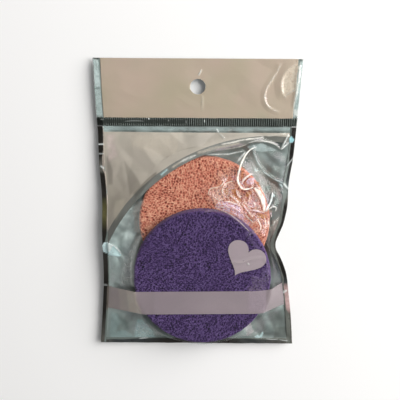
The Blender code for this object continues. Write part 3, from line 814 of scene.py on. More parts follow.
def build_mesh(name, points, faces, finish, values):
    """An object from points, four-cornered faces, a material and named values at the points."""
    mesh = bpy.data.meshes.new(name)
    mesh.vertices.add(len(points))
    mesh.vertices.foreach_set("co", np.ascontiguousarray(points, np.float32).ravel())
    mesh.loops.add(4 * len(faces))
    mesh.loops.foreach_set("vertex_index", np.ascontiguousarray(faces, np.int32).ravel())
    mesh.polygons.add(len(faces))
    mesh.polygons.foreach_set("loop_start", np.arange(0, 4 * len(faces), 4, dtype=np.int32))
    mesh.update(calc_edges=True)
    for key, value in values.items():
        attribute = mesh.attributes.new(key, "FLOAT", "POINT")
        attribute.data.foreach_set("value", np.ascontiguousarray(value, np.float32).ravel())
    mesh.shade_smooth()
    mesh.materials.append(finish)
    return add_object(name, mesh)


def quads(index):
    """The faces between a grid's points, given their numbers, facing up."""
    corners = (index[:-1, :-1], index[:-1, 1:], index[1:, 1:], index[1:, :-1])
    return np.stack(corners, axis=-1).reshape(-1, 4)


def grid_faces(rows, columns):
    return quads(np.arange(rows * columns).reshape(rows, columns))


def sheet(name, x, y, height, finish, **values):
    """A film as an open surface over a grid of points."""
    points = np.stack([x, y, height], axis=-1).reshape(-1, 3)
    return build_mesh(name, points, grid_faces(*x.shape), finish, values)


def closed(grid):
    """A grid of values with its first column again at its end."""
    return np.concatenate([grid, grid[:, :1]], axis=1)


def slab(name, x, y, height, thickness, finish, closed_across=False, **values):
    """A film with a thickness, over a grid of points. The grid may close on itself across."""
    if closed_across:
        x, y, height = closed(x), closed(y), closed(height)
        values = {key: closed(a) for key, a in values.items()}
    rows, columns = x.shape
    index = np.arange(rows * columns).reshape(rows, columns)
    if closed_across:
        index[:, -1] = index[:, 0]
    upper = np.stack([x, y, height + thickness / 2], axis=-1).reshape(-1, 3)
    lower = np.stack([x, y, height - thickness / 2], axis=-1).reshape(-1, 3)
    count = rows * columns
    top = quads(index)
    faces = [top, top[:, ::-1] + count]
    borders = [index[0], index[-1, ::-1]]
    if not closed_across:
        borders += [index[:, -1], index[::-1, 0]]
    for border in borders:
        a, b = border[:-1], border[1:]
        faces.append(np.stack([a, a + count, b + count, b], axis=-1))
    faces = np.concatenate(faces)
    used = np.unique(faces)
    renumbered = np.full(2 * count, -1)
    renumbered[used] = np.arange(len(used))
    values = {key: np.concatenate([a.ravel(), a.ravel()])[used] for key, a in values.items()}
    points = np.concatenate([upper, lower])[used]
    return build_mesh(name, points, renumbered[faces], finish, values)


def linear(red, green, blue):
    """A colour given from 0 to 255, as seen on a screen, in Blender's linear values, by the
    sRGB curve."""
    shares = np.array([red, green, blue]) / 255
    low = shares / 12.92
    high = ((shares + 0.055) / 1.055) ** 2.4
    return (*np.where(shares <= 0.04045, low, high).tolist(), 1.0)


def new_tree(name):
    """A material with an empty node tree, and the tree."""
    made = bpy.data.materials.new(name)
    made.use_nodes = True
    made.node_tree.nodes.clear()
    return made, made.node_tree


def feed(tree, socket, value):
    """Link an input to an output, or else give it a value."""
    if isinstance(value, bpy.types.NodeSocket):
        tree.links.new(value, socket)
    else:
        socket.default_value = value


def add_node(tree, kind, **inputs):
    """A shader node, with values or links set by the names of its inputs, and with properties
    set by names that start with a small letter."""
    made = tree.nodes.new("ShaderNode" + kind)
    for name, value in inputs.items():
        if name[0].islower():
            setattr(made, name, value)
        else:
            feed(tree, made.inputs[name.replace("_", " ")], value)
    return made


def join_shaders(tree, kind, first, second, **inputs):
    """Two shaders, mixed or added."""
    made = add_node(tree, kind, **inputs)
    for socket, shader in zip(list(made.inputs)[-2:], (first, second)):
        feed(tree, socket, shader.outputs[0])
    return made


def places_in(tree):
    return add_node(tree, "TexCoord").outputs["Object"]


def noise(tree, size, detail=3.0, roughness=0.55):
    """Noise from 0 to 1 with features of about a size in metres."""
    made = add_node(tree, "TexNoise", Vector=places_in(tree), Scale=1 / size, Detail=detail,
                    Roughness=roughness)
    return made.outputs["Fac"]


def ramp(tree, fac, *stops):
    """Colours or greys along a factor, from (place, colour) pairs."""
    made = add_node(tree, "ValToRGB", Fac=fac)
    elements = made.color_ramp.elements
    elements[0].position, elements[0].color = stops[0]
    elements[1].position, elements[1].color = stops[-1]
    for place, colour in stops[1:-1]:
        elements.new(place).color = colour
    return made.outputs["Color"]


def grey(value):
    return (value, value, value, 1.0)


def greys(tree, fac, *stops):
    """A ramp of greys, from (place, value) pairs."""
    return ramp(tree, fac, *((place, grey(value)) for place, value in stops))


def uneven(tree, size, low, high, detail=3.0):
    """A roughness that wavers between two values."""
    return greys(tree, noise(tree, size, detail), (0.3, low), (0.7, high))


def rippled(tree, size, strength, depth, detail=3.0):
    """A normal that wavers over ripples of a size."""
    made = add_node(tree, "Bump", Height=noise(tree, size, detail), Strength=strength,
                    Distance=depth)
    return made.outputs["Normal"]


def attribute(tree, name):
    return add_node(tree, "Attribute", attribute_name=name).outputs["Fac"]


def math_node(tree, operation, a, b, clamp=False):
    made = add_node(tree, "Math", operation=operation, use_clamp=clamp)
    feed(tree, made.inputs[0], a)
    feed(tree, made.inputs[1], b)
    return made.outputs[0]


def mixed(tree, fac, a, b, blend="MIX"):
    """A colour between two, by a factor, or the second laid on the first by a kind of blend."""
    made = add_node(tree, "Mix", data_type="RGBA", blend_type=blend)
    for number, value in ((0, fac), (6, a), (7, b)):
        feed(tree, made.inputs[number], value)
    return made.outputs[2]


def finish_material(tree, **inputs):
    """End a tree with one principled shader."""
    shader = add_node(tree, "BsdfPrincipled", **inputs)
    add_node(tree, "OutputMaterial", Surface=shader.outputs[0])


# The clear film's thin-film tints, by noise, and the colours of the highlights, reflections and
# dark gold shade painted along its creases and patches, by tint
FILM_TINTS = (
    (0.3, (0.72, 1.0, 0.93, 1)), (0.45, (1, 1, 0.96, 1)), (0.6, (1.0, 0.86, 0.95, 1)),
    (0.72, (0.84, 0.8, 1.0, 1)),
)
PAINTED_LIGHT_TINTS = (
    (0.0, (0.6, 0.9, 0.92, 1)), (0.3, (0.92, 0.97, 0.94, 1)), (0.5, (0.95, 0.86, 0.72, 1)),
    (0.75, (0.95, 0.76, 0.78, 1)), (1, (0.6, 0.5, 0.75, 1)), (GOLD, (0.34, 0.14, 0.04, 1)),
)
CLEARNESS = (0.95, 0.965, 0.96, 1)
FILM_GLOSS = 0.18
FILM_HAZE = 0.006
# How much the film mirrors: everywhere, and as much more where it is seen edge on
VEIL, EDGE_VEIL, EDGE_BLEND = 0.025, 0.15, 0.35


def clear_film_material(name):
    """Clear film: what is under it shows through, and it mirrors more along creases and edges,
    with the faint mint and lavender tints of thin film. Its gleaming parts are painted highlights
    and reflections, and the gold ones painted shade, broken up by noise, the lavender and gold
    ones more finely."""
    made, tree = new_tree(name)
    through = add_node(tree, "BsdfTransparent", Color=CLEARNESS)
    ripple = rippled(tree, 7 * MM, 0.25, 0.3 * MM, 2.0)
    tint = ramp(tree, noise(tree, 8 * MM, 2.0), *FILM_TINTS)
    mirror = add_node(tree, "BsdfPrincipled", Base_Color=tint, Metallic=1.0, Roughness=FILM_GLOSS,
                      Normal=ripple)
    edge = add_node(tree, "LayerWeight", Blend=EDGE_BLEND, Normal=ripple)
    veil = math_node(tree, "MULTIPLY", edge.outputs["Facing"], EDGE_VEIL)
    veil = math_node(tree, "ADD", veil, VEIL)
    glass = join_shaders(tree, "MixShader", through, mirror, Fac=veil)
    # Painted highlights, reflections and dark gold shade, mixed in where the gleam attribute marks them
    painted_light_tone = ramp(tree, math_node(tree, "DIVIDE", attribute(tree, "tint"), GOLD),
                    *((tint / GOLD, colour) for tint, colour in PAINTED_LIGHT_TINTS))
    painted_light_shader = add_node(tree, "BsdfPrincipled", Base_Color=painted_light_tone, Roughness=0.35, Normal=ripple)
    patchy = greys(tree, noise(tree, 2.6 * MM, 2.0), (0.32, 0.5), (0.58, 1.0))
    broken = greys(tree, noise(tree, 1.1 * MM, 2.0), (0.4, 0.25), (0.62, 1.35))
    lavender = greys(tree, attribute(tree, "tint"), (0.8, 0.0), (0.9, 1.0))
    share = mixed(tree, lavender, patchy, broken)
    share = math_node(tree, "MULTIPLY", attribute(tree, "gleam"), share)
    share = math_node(tree, "ADD", share, FILM_HAZE, clamp=True)
    both = join_shaders(tree, "MixShader", glass, painted_light_shader, Fac=share)
    add_node(tree, "OutputMaterial", Surface=both.outputs[0])
    return made


# What the marked parts of the metallised film, the ink, the seals and the crimp turn to: painted
# shade, painted light and painted glints
METAL_SHADE = (0.06, 0.06, 0.05, 1)
INK_SHADE, INK_LIFT = (0.09, 0.075, 0.06, 1), (0.72, 0.64, 0.5, 1)
SEAL_DARK = (0.02, 0.02, 0.018, 1)
SEAL_GLINT_TONE, MINT_TONE = linear(238, 245, 244), linear(165, 235, 245)
CRIMP_GLINT_TONE = linear(205, 212, 208)
# How much an ink's tone down the pouch, a painted shade, counts
DOWN_SHARE = 0.75


def metal_film_material(name, dark, light):
    """Metallised film, with light and shade painted on flat facets, clouds, shaded parts and ripples."""
    made, tree = new_tree(name)
    clouds = math_node(tree, "MULTIPLY", noise(tree, 22 * MM, 3.0), 0.6)
    level = math_node(tree, "ADD", clouds, attribute(tree, "facet"))
    tone = ramp(tree, level, (0.1, dark), (0.9, light))
    tone = mixed(tree, attribute(tree, "shade"), tone, METAL_SHADE)
    finish_material(tree, Base_Color=tone, Metallic=0.3,
                    Roughness=uneven(tree, 9 * MM, 0.34, 0.46, 2.0),
                    Normal=rippled(tree, 3 * MM, 0.3, 0.2 * MM))
    return made


def ink_material(name, dark, light, stops=()):
    """Ink on film: an even tone, or one that changes down the pouch as painted shade, with faint
    clouds, painted shade and painted light on marked parts, grain and a soft sheen."""
    made, tree = new_tree(name)
    tone = ramp(tree, noise(tree, 30 * MM, 2.0), (0.35, dark), (0.65, light))
    if stops:
        tone = mixed(tree, DOWN_SHARE, tone, tone_along(tree, "Y", stops))
    tone = mixed(tree, attribute(tree, "shade"), tone, INK_SHADE)
    tone = mixed(tree, attribute(tree, "lift"), tone, INK_LIFT)
    tone = mixed(tree, 1.0, tone, uneven(tree, 0.5 * MM, 0.93, 1.0, 2.0), "MULTIPLY")
    finish_material(tree, Base_Color=tone, Roughness=uneven(tree, 4 * MM, 0.42, 0.55),
                    Normal=rippled(tree, 5 * MM, 0.15, 0.2 * MM, 2.0))
    return made


# Where the photograph shows the bottom seal, and a column that the side seals' rows are seen at
BOTTOM_ROW, MIDDLE_COLUMN = 340, 150


def place_seen(pixel, axis):
    """The x at which a column, or the y at which a row, of the photograph lies on the pouch."""
    if axis == "X":
        return seen_at(pixel, BOTTOM_ROW, FLAT_HEIGHT).x
    return seen_at(MIDDLE_COLUMN, pixel, FLAT_HEIGHT).y


def tone_along(tree, axis, stops):
    """A colour along the pouch, from (pixel of the photograph, colour) pairs in its order."""
    place = add_node(tree, "SeparateXYZ", Vector=places_in(tree)).outputs[axis]
    pairs = [(0.5 + place_seen(pixel, axis) / (2 * SPAN), linear(*colour))
             for pixel, colour in stops]
    share = add_node(tree, "MapRange", Value=place, From_Min=-SPAN, From_Max=SPAN)
    return ramp(tree, share.outputs["Result"], *sorted(pairs))


def seal_material(name, axis, stops, beside):
    """Fused film: dark and glossy, in tones along its way that are partly its own and partly painted
    reflections and highlights, with the plain webs' tone where it isn't fused and painted glints on
    the creases across it."""
    made, tree = new_tree(name)
    tone = tone_along(tree, axis, stops)
    cloud = greys(tree, noise(tree, 2.2 * MM), (0.35, 0.72), (0.68, 1.0))
    tone = mixed(tree, cloud, SEAL_DARK, tone)
    tone = mixed(tree, attribute(tree, "loose"), tone, tone_along(tree, axis, beside))
    # Painted glints where the creases cross the seals
    painted_glint = ramp(tree, attribute(tree, "tint"), (0.1, MINT_TONE), (0.4, SEAL_GLINT_TONE))
    tone = mixed(tree, attribute(tree, "gleam"), tone, painted_glint)
    finish_material(tree, Base_Color=tone, Roughness=uneven(tree, 2 * MM, 0.25, 0.45),
                    Normal=rippled(tree, 1.6 * MM, 0.4, 0.15 * MM), Metallic=0.2)
    return made


def crimp_material(name, valley, crest):
    """The crimp's film: painted shade in the ribs' valleys, painted highlights on their crests and painted glints.
    """
    made, tree = new_tree(name)
    tone = ramp(tree, attribute(tree, "rib"), (0.2, valley), (0.95, crest))
    tone = mixed(tree, attribute(tree, "gleam"), tone, CRIMP_GLINT_TONE)
    finish_material(tree, Base_Color=tone, Roughness=uneven(tree, 2 * MM, 0.28, 0.45),
                    Normal=rippled(tree, 1.2 * MM, 0.3, 0.1 * MM), Metallic=0.5)
    return made


def foam_material(name, pore, wall, crest, blush, rim):
    """Foam: dark in the pores and light on the cell walls' crests, as painted shade and highlight,
    with a cloudy tone and painted light on its side."""
    made, tree = new_tree(name)
    speck = math_node(tree, "MULTIPLY", noise(tree, 0.6 * MM, 2.0), 0.7)
    depth = math_node(tree, "MULTIPLY", attribute(tree, "pore"), 0.75)
    depth = math_node(tree, "SUBTRACT", math_node(tree, "ADD", depth, speck), 0.1, clamp=True)
    # Painted shade in the pores and painted highlight on the crests
    tone = ramp(tree, depth, (0.12, crest), (0.36, wall), (0.85, pore))
    cloud = greys(tree, noise(tree, 16 * MM, 2.0), (0.35, 0.0), (0.7, 0.35))
    tone = mixed(tree, cloud, tone, blush)
    # Painted light on the sponge's side
    tone = mixed(tree, attribute(tree, "side"), tone, rim)
    finish_material(tree, Base_Color=tone, Roughness=0.85, Sheen_Weight=0.1,
                    Specular_IOR_Level=0.2, Normal=rippled(tree, 0.5 * MM, 0.6, 0.25 * MM))
    return made


# The printed areas, placed on the film from the photograph
ARC_RADIUS = 103.0 * MM
ARC_WIDTH = 3.4 * MM
ARC_TOP_BELOW_PANEL = 1.7 * MM
ARC_CENTRE = (40.1 * MM, PANEL_TOP - ARC_TOP_BELOW_PANEL - ARC_RADIUS)
ARC_ROWS = 6
ARC_ROUNDS = 40
BAND_WIDTH = 13.9 * MM
BAND_LOWERING = 1.0 * MM
BAND_SLOPE = radians(0.75)
BAND_RISE = 1.6 * MM
BAND_RISE_FROM = 32.0 * MM
BAND_POINTS = (161, 20)
PRINT_STEP = 0.7 * MM
# How the corner panel's columns crowd to the left and keep to the pocket's sides
COLUMN_CROWDING, LEFT_LEAN, RIGHT_LEAN = 1.15, 3, 6

# Where the photograph shows the printed areas in the shade of the film's slopes
SHADES = (
    Patch(0.36, 0, ((122, 156), (137, 175), (143, 186), (129, 198), (127, 186)), 1.6),
    Patch(0.2, 0, ((122, 156), (128, 186), (124, 196), (114, 176)), 2.5),
    Patch(0.4, 0, ((104.5, 155), (109, 156), (114, 170), (114, 186), (107, 186)), 1.6),
    Patch(0.14, 0, ((107, 196), (120, 190), (124, 200), (112, 214), (108, 214)), 3.0),
    Patch(0.35, 0, ((166, 170), (177, 163), (180, 166), (170, 174)), 1.0),
    Patch(0.5, 0, ((132, 193), (148, 177), (156, 171), (158, 174), (150, 183), (135, 199)), 0.8),
    Patch(0.3, 0, ((266, 284), (288, 278), (288, 308), (263, 318)), 1.0),
    Patch(0.1, 0, ((134, 288), (156, 288), (156, 316), (136, 316)), 2.0),
    Patch(0.2, 0, ((180, 130.5), (252, 131), (240, 141), (214, 144), (186, 156)), 3.5),
)

# Where it shows them lighter: painted light
LIFTS = (
    Patch(0.2, 0, ((100, 280), (130, 280), (134, 320), (100, 320)), 1.5),
    Patch(0.34, 0, ((114, 280), (137, 280), (138.5, 300), (146, 320), (118, 320)), 3.0),
    Patch(0.55, 0, ((122, 280), (136, 280), (138, 300), (146, 320), (128, 320)), 2.4),
    Patch(0.25, 0, ((114, 200), (126, 197), (125, 207), (116, 223), (112, 216)), 1.6),
)


def printed_sheet(name, pocket, x, y, finish, node):
    """A printed area: a grid of points laid just under the front film, with painted shade and painted light."""
    shade = Relief(x, y, pocket.at).add(SHADES).gleam
    lift = Relief(x, y, pocket.at).add(LIFTS).gleam
    made = sheet(name, x, y, pocket.at(x, y) - INK_BELOW_FILM, finish, shade=shade, lift=lift)
    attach(made, "pouch")
    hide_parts(node)


def arc_end(radius, edge):
    """The angle at which a circle about the arc's centre meets a side of the pocket."""
    angle = pi / 2
    for _ in range(ARC_ROUNDS):
        reach = (float(edge(ARC_CENTRE[1] + radius * sin(angle))) - ARC_CENTRE[0]) / radius
        angle = 0.5 * angle + 0.5 * (pi / 2 - np.arcsin(np.clip(reach, -1, 1)))
    return float(angle)


def arc_height(x):
    """The y of the arc's upper edge."""
    return ARC_CENTRE[1] + np.sqrt(np.maximum(ARC_RADIUS**2 - (x - ARC_CENTRE[0]) ** 2, 0))


def make_panel(pocket, finish):
    """The corner panel: each column of points runs from the arc up to the panel's top."""
    first = arc_end(ARC_RADIUS, inner_left)
    last = arc_end(ARC_RADIUS, inner_right)
    foot = ARC_CENTRE[1] + ARC_RADIUS * sin(first)
    start = ARC_CENTRE[0] + ARC_RADIUS * cos(first)
    end = ARC_CENTRE[0] + ARC_RADIUS * cos(last)
    columns = int((end - start) / PRINT_STEP)
    rows = int((PANEL_TOP - foot) / PRINT_STEP)
    share = np.linspace(0, 1, columns + 1)[None, :] ** COLUMN_CROWDING
    up = np.linspace(0, 1, rows + 1)[:, None]
    plain = start + (end - start) * share
    low = arc_height(plain)
    y = low + (PANEL_TOP - low) * up
    lean_left = (1 - share) ** LEFT_LEAN * (inner_left(y) - inner_left(foot))
    lean_right = share**RIGHT_LEAN * (inner_right(y) - end)
    x = plain + lean_left + lean_right
    low = arc_height(x[0])[None, :]
    y = low + (PANEL_TOP - low) * up
    printed_sheet("corner_panel_print", pocket, x, y, finish, "printed_panel")


def make_arc(pocket, finish):
    """The curved stripe along the panel's edge, from the right seal round to the left one."""
    radii = ARC_RADIUS - np.linspace(0, ARC_WIDTH, ARC_ROWS)
    ends = [(arc_end(r, inner_right), arc_end(r, inner_left)) for r in radii]
    count = int(ARC_RADIUS * (ends[0][1] - ends[0][0]) / PRINT_STEP)
    share = np.linspace(0, 1, count + 1)
    angle = np.array([a + (b - a) * share for a, b in ends])
    x = ARC_CENTRE[0] + radii[:, None] * np.cos(angle)
    y = ARC_CENTRE[1] + radii[:, None] * np.sin(angle)
    printed_sheet("curved_stripe_print", pocket, x, y, finish, "printed_arc")


def make_band(pocket, finish):
    """The stripe across the pouch, which follows the film up at its right end."""
    low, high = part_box("printed_band")
    middle = (low.y + high.y) / 2 - BAND_LOWERING
    across = np.linspace(0, 1, BAND_POINTS[0])[None, :]
    up = np.linspace(-0.5, 0.5, BAND_POINTS[1])[:, None] * BAND_WIDTH
    left, right = float(inner_left(middle)), float(inner_right(middle))
    plain = left + (right - left) * across
    rise = BAND_RISE * smooth_step(BAND_RISE_FROM, right, plain)
    y = middle + up + plain * sin(BAND_SLOPE) + rise
    x = inner_left(y) + (inner_right(y) - inner_left(y)) * across
    printed_sheet("cross_band_print", pocket, x, y, finish, "printed_band")


HEART_WIDTH = 23.2 * MM
HEART_HEIGHT = 20.5 * MM
HEART_TILT = radians(28.0)
HEART_TIP_PIXEL = (234.8, 276.7)
HEART_RINGS = 24
HEART_TURNS = 128
HEART_HUB = 0.02


def make_heart(pocket, finish):
    """The heart: rings of points from a middle point out to the usual heart curve, which goes
    from -17 to 12 up."""
    tip = seen_at(*HEART_TIP_PIXEL, float(pocket.height.max()))
    turn = np.linspace(0, 2 * pi, HEART_TURNS, endpoint=False)
    across = HEART_WIDTH / 2 * np.sin(turn) ** 3
    up = 13 * np.cos(turn) - 5 * np.cos(2 * turn) - 2 * np.cos(3 * turn) - np.cos(4 * turn)
    up = HEART_HEIGHT * (up + 17) / 29
    share = np.linspace(HEART_HUB, 1, HEART_RINGS)[:, None]
    across = across[None, :] * share
    up = HEART_HEIGHT / 2 + (up[None, :] - HEART_HEIGHT / 2) * share
    x = tip.x + across * cos(HEART_TILT) + up * sin(HEART_TILT)
    y = tip.y - across * sin(HEART_TILT) + up * cos(HEART_TILT)
    printed_sheet("heart_print", pocket, closed(x), closed(y), finish,
                  "printed_heart")


def make_films(materials):
    """The pocket's two films and what is printed on the front one."""
    behind = make_back_field()
    pocket, relief = make_front_field(behind)
    front = sheet("clear_front_web", pocket.x, pocket.y, pocket.height, materials["clear"],
                  gleam=relief.gleam, tint=relief.tint)
    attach(front, "pouch")
    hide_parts("front_film")
    shade = Relief(behind.x, behind.y, behind.at).add(BACK_SHADES).gleam
    # Lighter and darker facets of painted light and shade on the metallised film
    facet = TONE_MIDDLE + TONE_REACH * facets(behind.x, behind.y, TONE_FACETS, TONE_SEED)
    back = sheet("metallised_back_web", behind.x, behind.y, behind.height, materials["metal"],
                 facet=facet, shade=shade)
    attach(back, "pouch")
    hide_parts("back_film")
    make_panel(pocket, materials["beige"])
    make_arc(pocket, materials["grey"])
    make_band(pocket, materials["mauve"])
    make_heart(pocket, materials["heart"])


SEAL_STEP = 0.6 * MM
SEAL_COLUMNS = 17
BOTTOM_COLUMNS = 180
SEAL_FACETS = ((6.0 * MM, 0.28 * MM, 21), (2.2 * MM, 0.08 * MM, 22))
# Half the width over which the fused strip turns to loose film
FUSED_FADE = 0.15 * MM
# How wide the fused, dark strip is, in mm, at rows or columns of the photograph
LEFT_FUSED = (
    (125, 2.9), (150, 2.7), (158, 1.8), (170, 1.8), (174, 2.7), (232, 2.7), (241, 1.6), (243, 2.6),
    (284, 2.7), (287, 2.1), (343, 2.2),
)
RIGHT_FUSED = (
    (124, 2.8), (130, 2.6), (138, 2.2), (156, 2.2), (165, 1.5), (180, 1.8), (187, 0.8), (194, 0.8),
    (202, 2.0), (212, 2.0), (220, 1.5), (228, 1.8), (236, 1.2), (246, 1.0), (253, 1.7), (261, 2.3),
    (270, 2.3), (277, 1.8), (284, 2.4), (308, 2.4), (314, 0.8), (343, 0.8),
)
BOTTOM_FUSED = (
    (100, 2.0), (124, 2.1), (140, 2.7), (165, 3.1), (228, 3.1), (250, 2.8), (276, 2.1), (292, 1.8),
)
# Creases across the seals, and the glints painted on them
SEAL_FOLDS = (
    Fold(0.35, 0.7, 0.7, 0.8, 0.6, 0.5, ((97, 144.6), (104, 143.8))),
    Fold(0.3, 0.7, 0.7, 0.45, 0.6, 0.5, ((97, 154), (104, 153.5))),
    Fold(0.2, 0.7, 0.7, 0.6, 0.9, 0.5, ((100, 165.5), (104, 168.5))),
    Fold(0.2, 0.7, 0.7, 0.4, 0.7, 0.5, ((102, 284.5), (108, 284.8))),
    Fold(0.4, 1.0, 1.0, 0.6, 0.8, 0.5, ((280, 181), (289, 190))),
    Fold(0.4, 1.0, 1.0, 0.5, 0.6, 0.5, ((286, 167), (293.5, 157))),
    Fold(0.4, 1.0, 1.0, 0.6, 1.4, 0.5, ((282, 292.8), (287, 290))),
    Patch(0.9, 0.15, (
        (289.1, 138.2), (291.3, 135.6), (294.6, 139.7), (292.4, 143), (289.1, 142.2),
    ), 0.2),
    Patch(1.0, 0.3, (
        (102, 245.5), (104, 242.4), (109.5, 242), (109.5, 253.4), (103.4, 252.5),
    ), 0.2),
    Fold(0.1, 1.0, 1.0, 0.5, 0.9, 0.5, ((139, 338.4), (144, 337.6), (148.5, 337.2))),
    *strokes(0.7, 0.3, 0.5, ((265.8, 338.6), (272, 339.2), (278, 339.1)),
             ((279.5, 339.6), (285, 340.4), (290, 341.2))),
)
# The fused film's tones, and where each seal has them, at rows or columns of the photograph. The
# olive, pale and pink tones, and the grey at the left seal's twist, are painted reflections and
# highlights; the rest are the seals' own tones
BLACK, BROWN, SLATE = (30, 27, 23), (52, 49, 46), (64, 69, 70)
OLIVE, GREY, PALE, PINK = (94, 90, 56), (98, 97, 91), (134, 144, 142), (198, 167, 165)
LEFT_TONES = (
    (125, BLACK), (156, BLACK), (164, GREY), (171, GREY), (174, BLACK), (196, BLACK), (204, OLIVE),
    (216, OLIVE), (230, BLACK), (256, BROWN), (280, BLACK), (312, BLACK), (343, GREY),
)
RIGHT_TONES = (
    (124, BROWN), (152, BLACK), (166, BROWN), (178, SLATE), (190, PALE), (199, GREY), (205, BLACK),
    (232, BROWN), (246, GREY), (254, BROWN), (262, BLACK), (273, BLACK), (281, SLATE), (285, PINK),
    (306, PINK), (313, GREY), (343, GREY),
)
BOTTOM_TONES = (
    (100, GREY), (116, SLATE), (140, SLATE), (165, BROWN), (228, BROWN), (252, SLATE), (292, GREY),
)


def loose_part(x, y, depth, fused, axis):
    """Where the strip isn't fused: a share at each point, from its depth inside the edge and the
    fused widths along an axis."""
    places = np.array([place_seen(pixel, axis) for pixel, _ in fused])
    order = np.argsort(places)
    widths = np.array([width for _, width in fused])[order]
    width = np.interp(x if axis == "X" else y, places[order], widths) * MM
    return smooth_step(-FUSED_FADE, FUSED_FADE, depth - width)


def finish_seal(name, node, x, y, depth, fused, axis, finish):
    """A seal over a grid of points, from their depth inside the pouch's edge."""
    relief = Relief(x, y, lambda px, py: seal_height(py)).add(SEAL_FOLDS)
    height = crumpled(x, y, seal_height(y), SEAL_FACETS) + relief.added
    made = slab(name, x, y, height, SEAL_THICKNESS, finish, gleam=relief.gleam,
                tint=relief.tint, loose=loose_part(x, y, depth, fused, axis))
    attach(made, "pouch")
    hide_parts(node)


def rows_between(left, right, rows, columns):
    """A grid of points with a number of columns between two side curves."""
    share = np.linspace(0, 1, columns)
    x = left(rows)[:, None] * (1 - share) + right(rows)[:, None] * share
    return x, np.repeat(rows[:, None], columns, axis=1)


def make_side_seal(name, node, left, right, outer, fused, finish):
    low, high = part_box(node)
    rows = np.linspace(low.y, high.y, int((high.y - low.y) / SEAL_STEP) + 1)
    x, y = rows_between(left, right, rows, SEAL_COLUMNS)
    finish_seal(name, node, x, y, np.abs(x - outer(y)), fused, "Y", finish)


def make_seals(materials):
    make_side_seal("left_fused_edge", "left_side_seal", left_edge, inner_left, left_edge,
                   LEFT_FUSED, materials["left_seal"])
    make_side_seal("right_fused_edge", "right_side_seal", inner_right, right_edge, right_edge,
                   RIGHT_FUSED, materials["right_seal"])
    rows = np.linspace(BOTTOM_LOW.y, BOTTOM_HIGH.y, SEAL_COLUMNS)
    x, y = rows_between(inner_left, inner_right, rows, BOTTOM_COLUMNS)
    finish_seal("bottom_fused_edge", "bottom_seal", x, y, y - BOTTOM_LOW.y, BOTTOM_FUSED, "X",
                materials["bottom_seal"])


# The crimp's upright ribs, which are pressed flat along the middle of its left part, up to an
# x and over a length, and dark at its left end
RIB_PITCH = 1.19 * MM
RIB_HEIGHT = 0.3 * MM
RIB_POINTS = 8
RIB_EDGES = (0.15, 0.85)
CRIMP_ROWS = 15
CRIMP_FACETS = ((7 * MM, 0.15 * MM, 31),)
FLAT_TO, FLAT_FADE = -8.0 * MM, 6 * MM
FLAT_MIDDLE = (0.35, 0.6)
FLAT_PRESS, FLAT_LEVEL = 0.85, 0.4
DARK_END, DARK_FADE, DARK_LEVEL = 2.6 * MM, 0.8 * MM, 0.35
# Glints painted on the crimp's ribs
CRIMP_GLINTS = [
    *strokes(0.9, 0.6, 0.3, ((148.2, 118.2), (149.4, 119.2))),
    *strokes(0.5, 0.5, 0.3, ((168.2, 119.8), (169, 121.2)), ((186, 120.4), (186.4, 123.6))),
    *strokes(0.6, 0.6, 0.3, ((204.4, 119.6), (204.8, 122.6))),
    *strokes(0.4, 0.6, 0.3, ((100.4, 119.2), (103.8, 119.6))),
    *strokes(0.4, 0.5, 0.3, ((124.6, 121.4), (134, 120.6), (143.7, 121))),
]


def make_crimp(materials):
    width = float(right_edge(CRIMP_LOW.y) - left_edge(CRIMP_LOW.y))
    columns = int(round(width / RIB_PITCH)) * RIB_POINTS
    rows = np.linspace(CRIMP_LOW.y, CRIMP_HIGH.y, CRIMP_ROWS)
    x, y = rows_between(left_edge, right_edge, rows, columns + 1)
    rib = smooth_step(*RIB_EDGES, 0.5 + 0.5 * np.cos(2 * pi * x / RIB_PITCH))
    middle = 1 - np.abs(2 * (y - CRIMP_LOW.y) / (CRIMP_HIGH.y - CRIMP_LOW.y) - 1)
    pressed = smooth_step(*FLAT_MIDDLE, middle) * (1 - smooth_step(0, FLAT_FADE, x - FLAT_TO))
    rib = rib * (1 - FLAT_PRESS * pressed) + FLAT_LEVEL * pressed
    inward = smooth_step(DARK_END, DARK_END + DARK_FADE, x - left_edge(y))
    rib = rib * (DARK_LEVEL + (1 - DARK_LEVEL) * inward)
    height = crumpled(x, y, FLAT_HEIGHT + RIB_HEIGHT * (rib - 0.5), CRIMP_FACETS)
    gleam = Relief(x, y, flat).add(CRIMP_GLINTS).gleam
    made = slab("ribbed_crimp", x, y, height, SEAL_THICKNESS, materials["crimp"], rib=rib,
                gleam=gleam)
    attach(made, "pouch")
    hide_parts("crimp_seal")


def hang_hole():
    """The hang hole's centre and radius, from the record and the CAD print's nearest corners."""
    centre = [m["pos_m"][:2] for m in frame["record"]["mounts"] if m["name"] == "hang_hole"][0]
    away = node_points("header_print")[:, :2] - centre
    return np.array([*centre, np.hypot(*away.T).min()])


# The header, with its print's silver margins and the creases in its front film
HOLE = hang_hole()
PRINT_MARGIN_LEFT = 3.9 * MM
PRINT_MARGIN_RIGHT = 2.6 * MM
HOLE_SEGMENTS = 330
HOLE_RINGS = 100
HEADER_FACETS = ((24.0 * MM, 0.28 * MM, 41), (9.0 * MM, 0.08 * MM, 42))
HEADER_TONE = 0.2
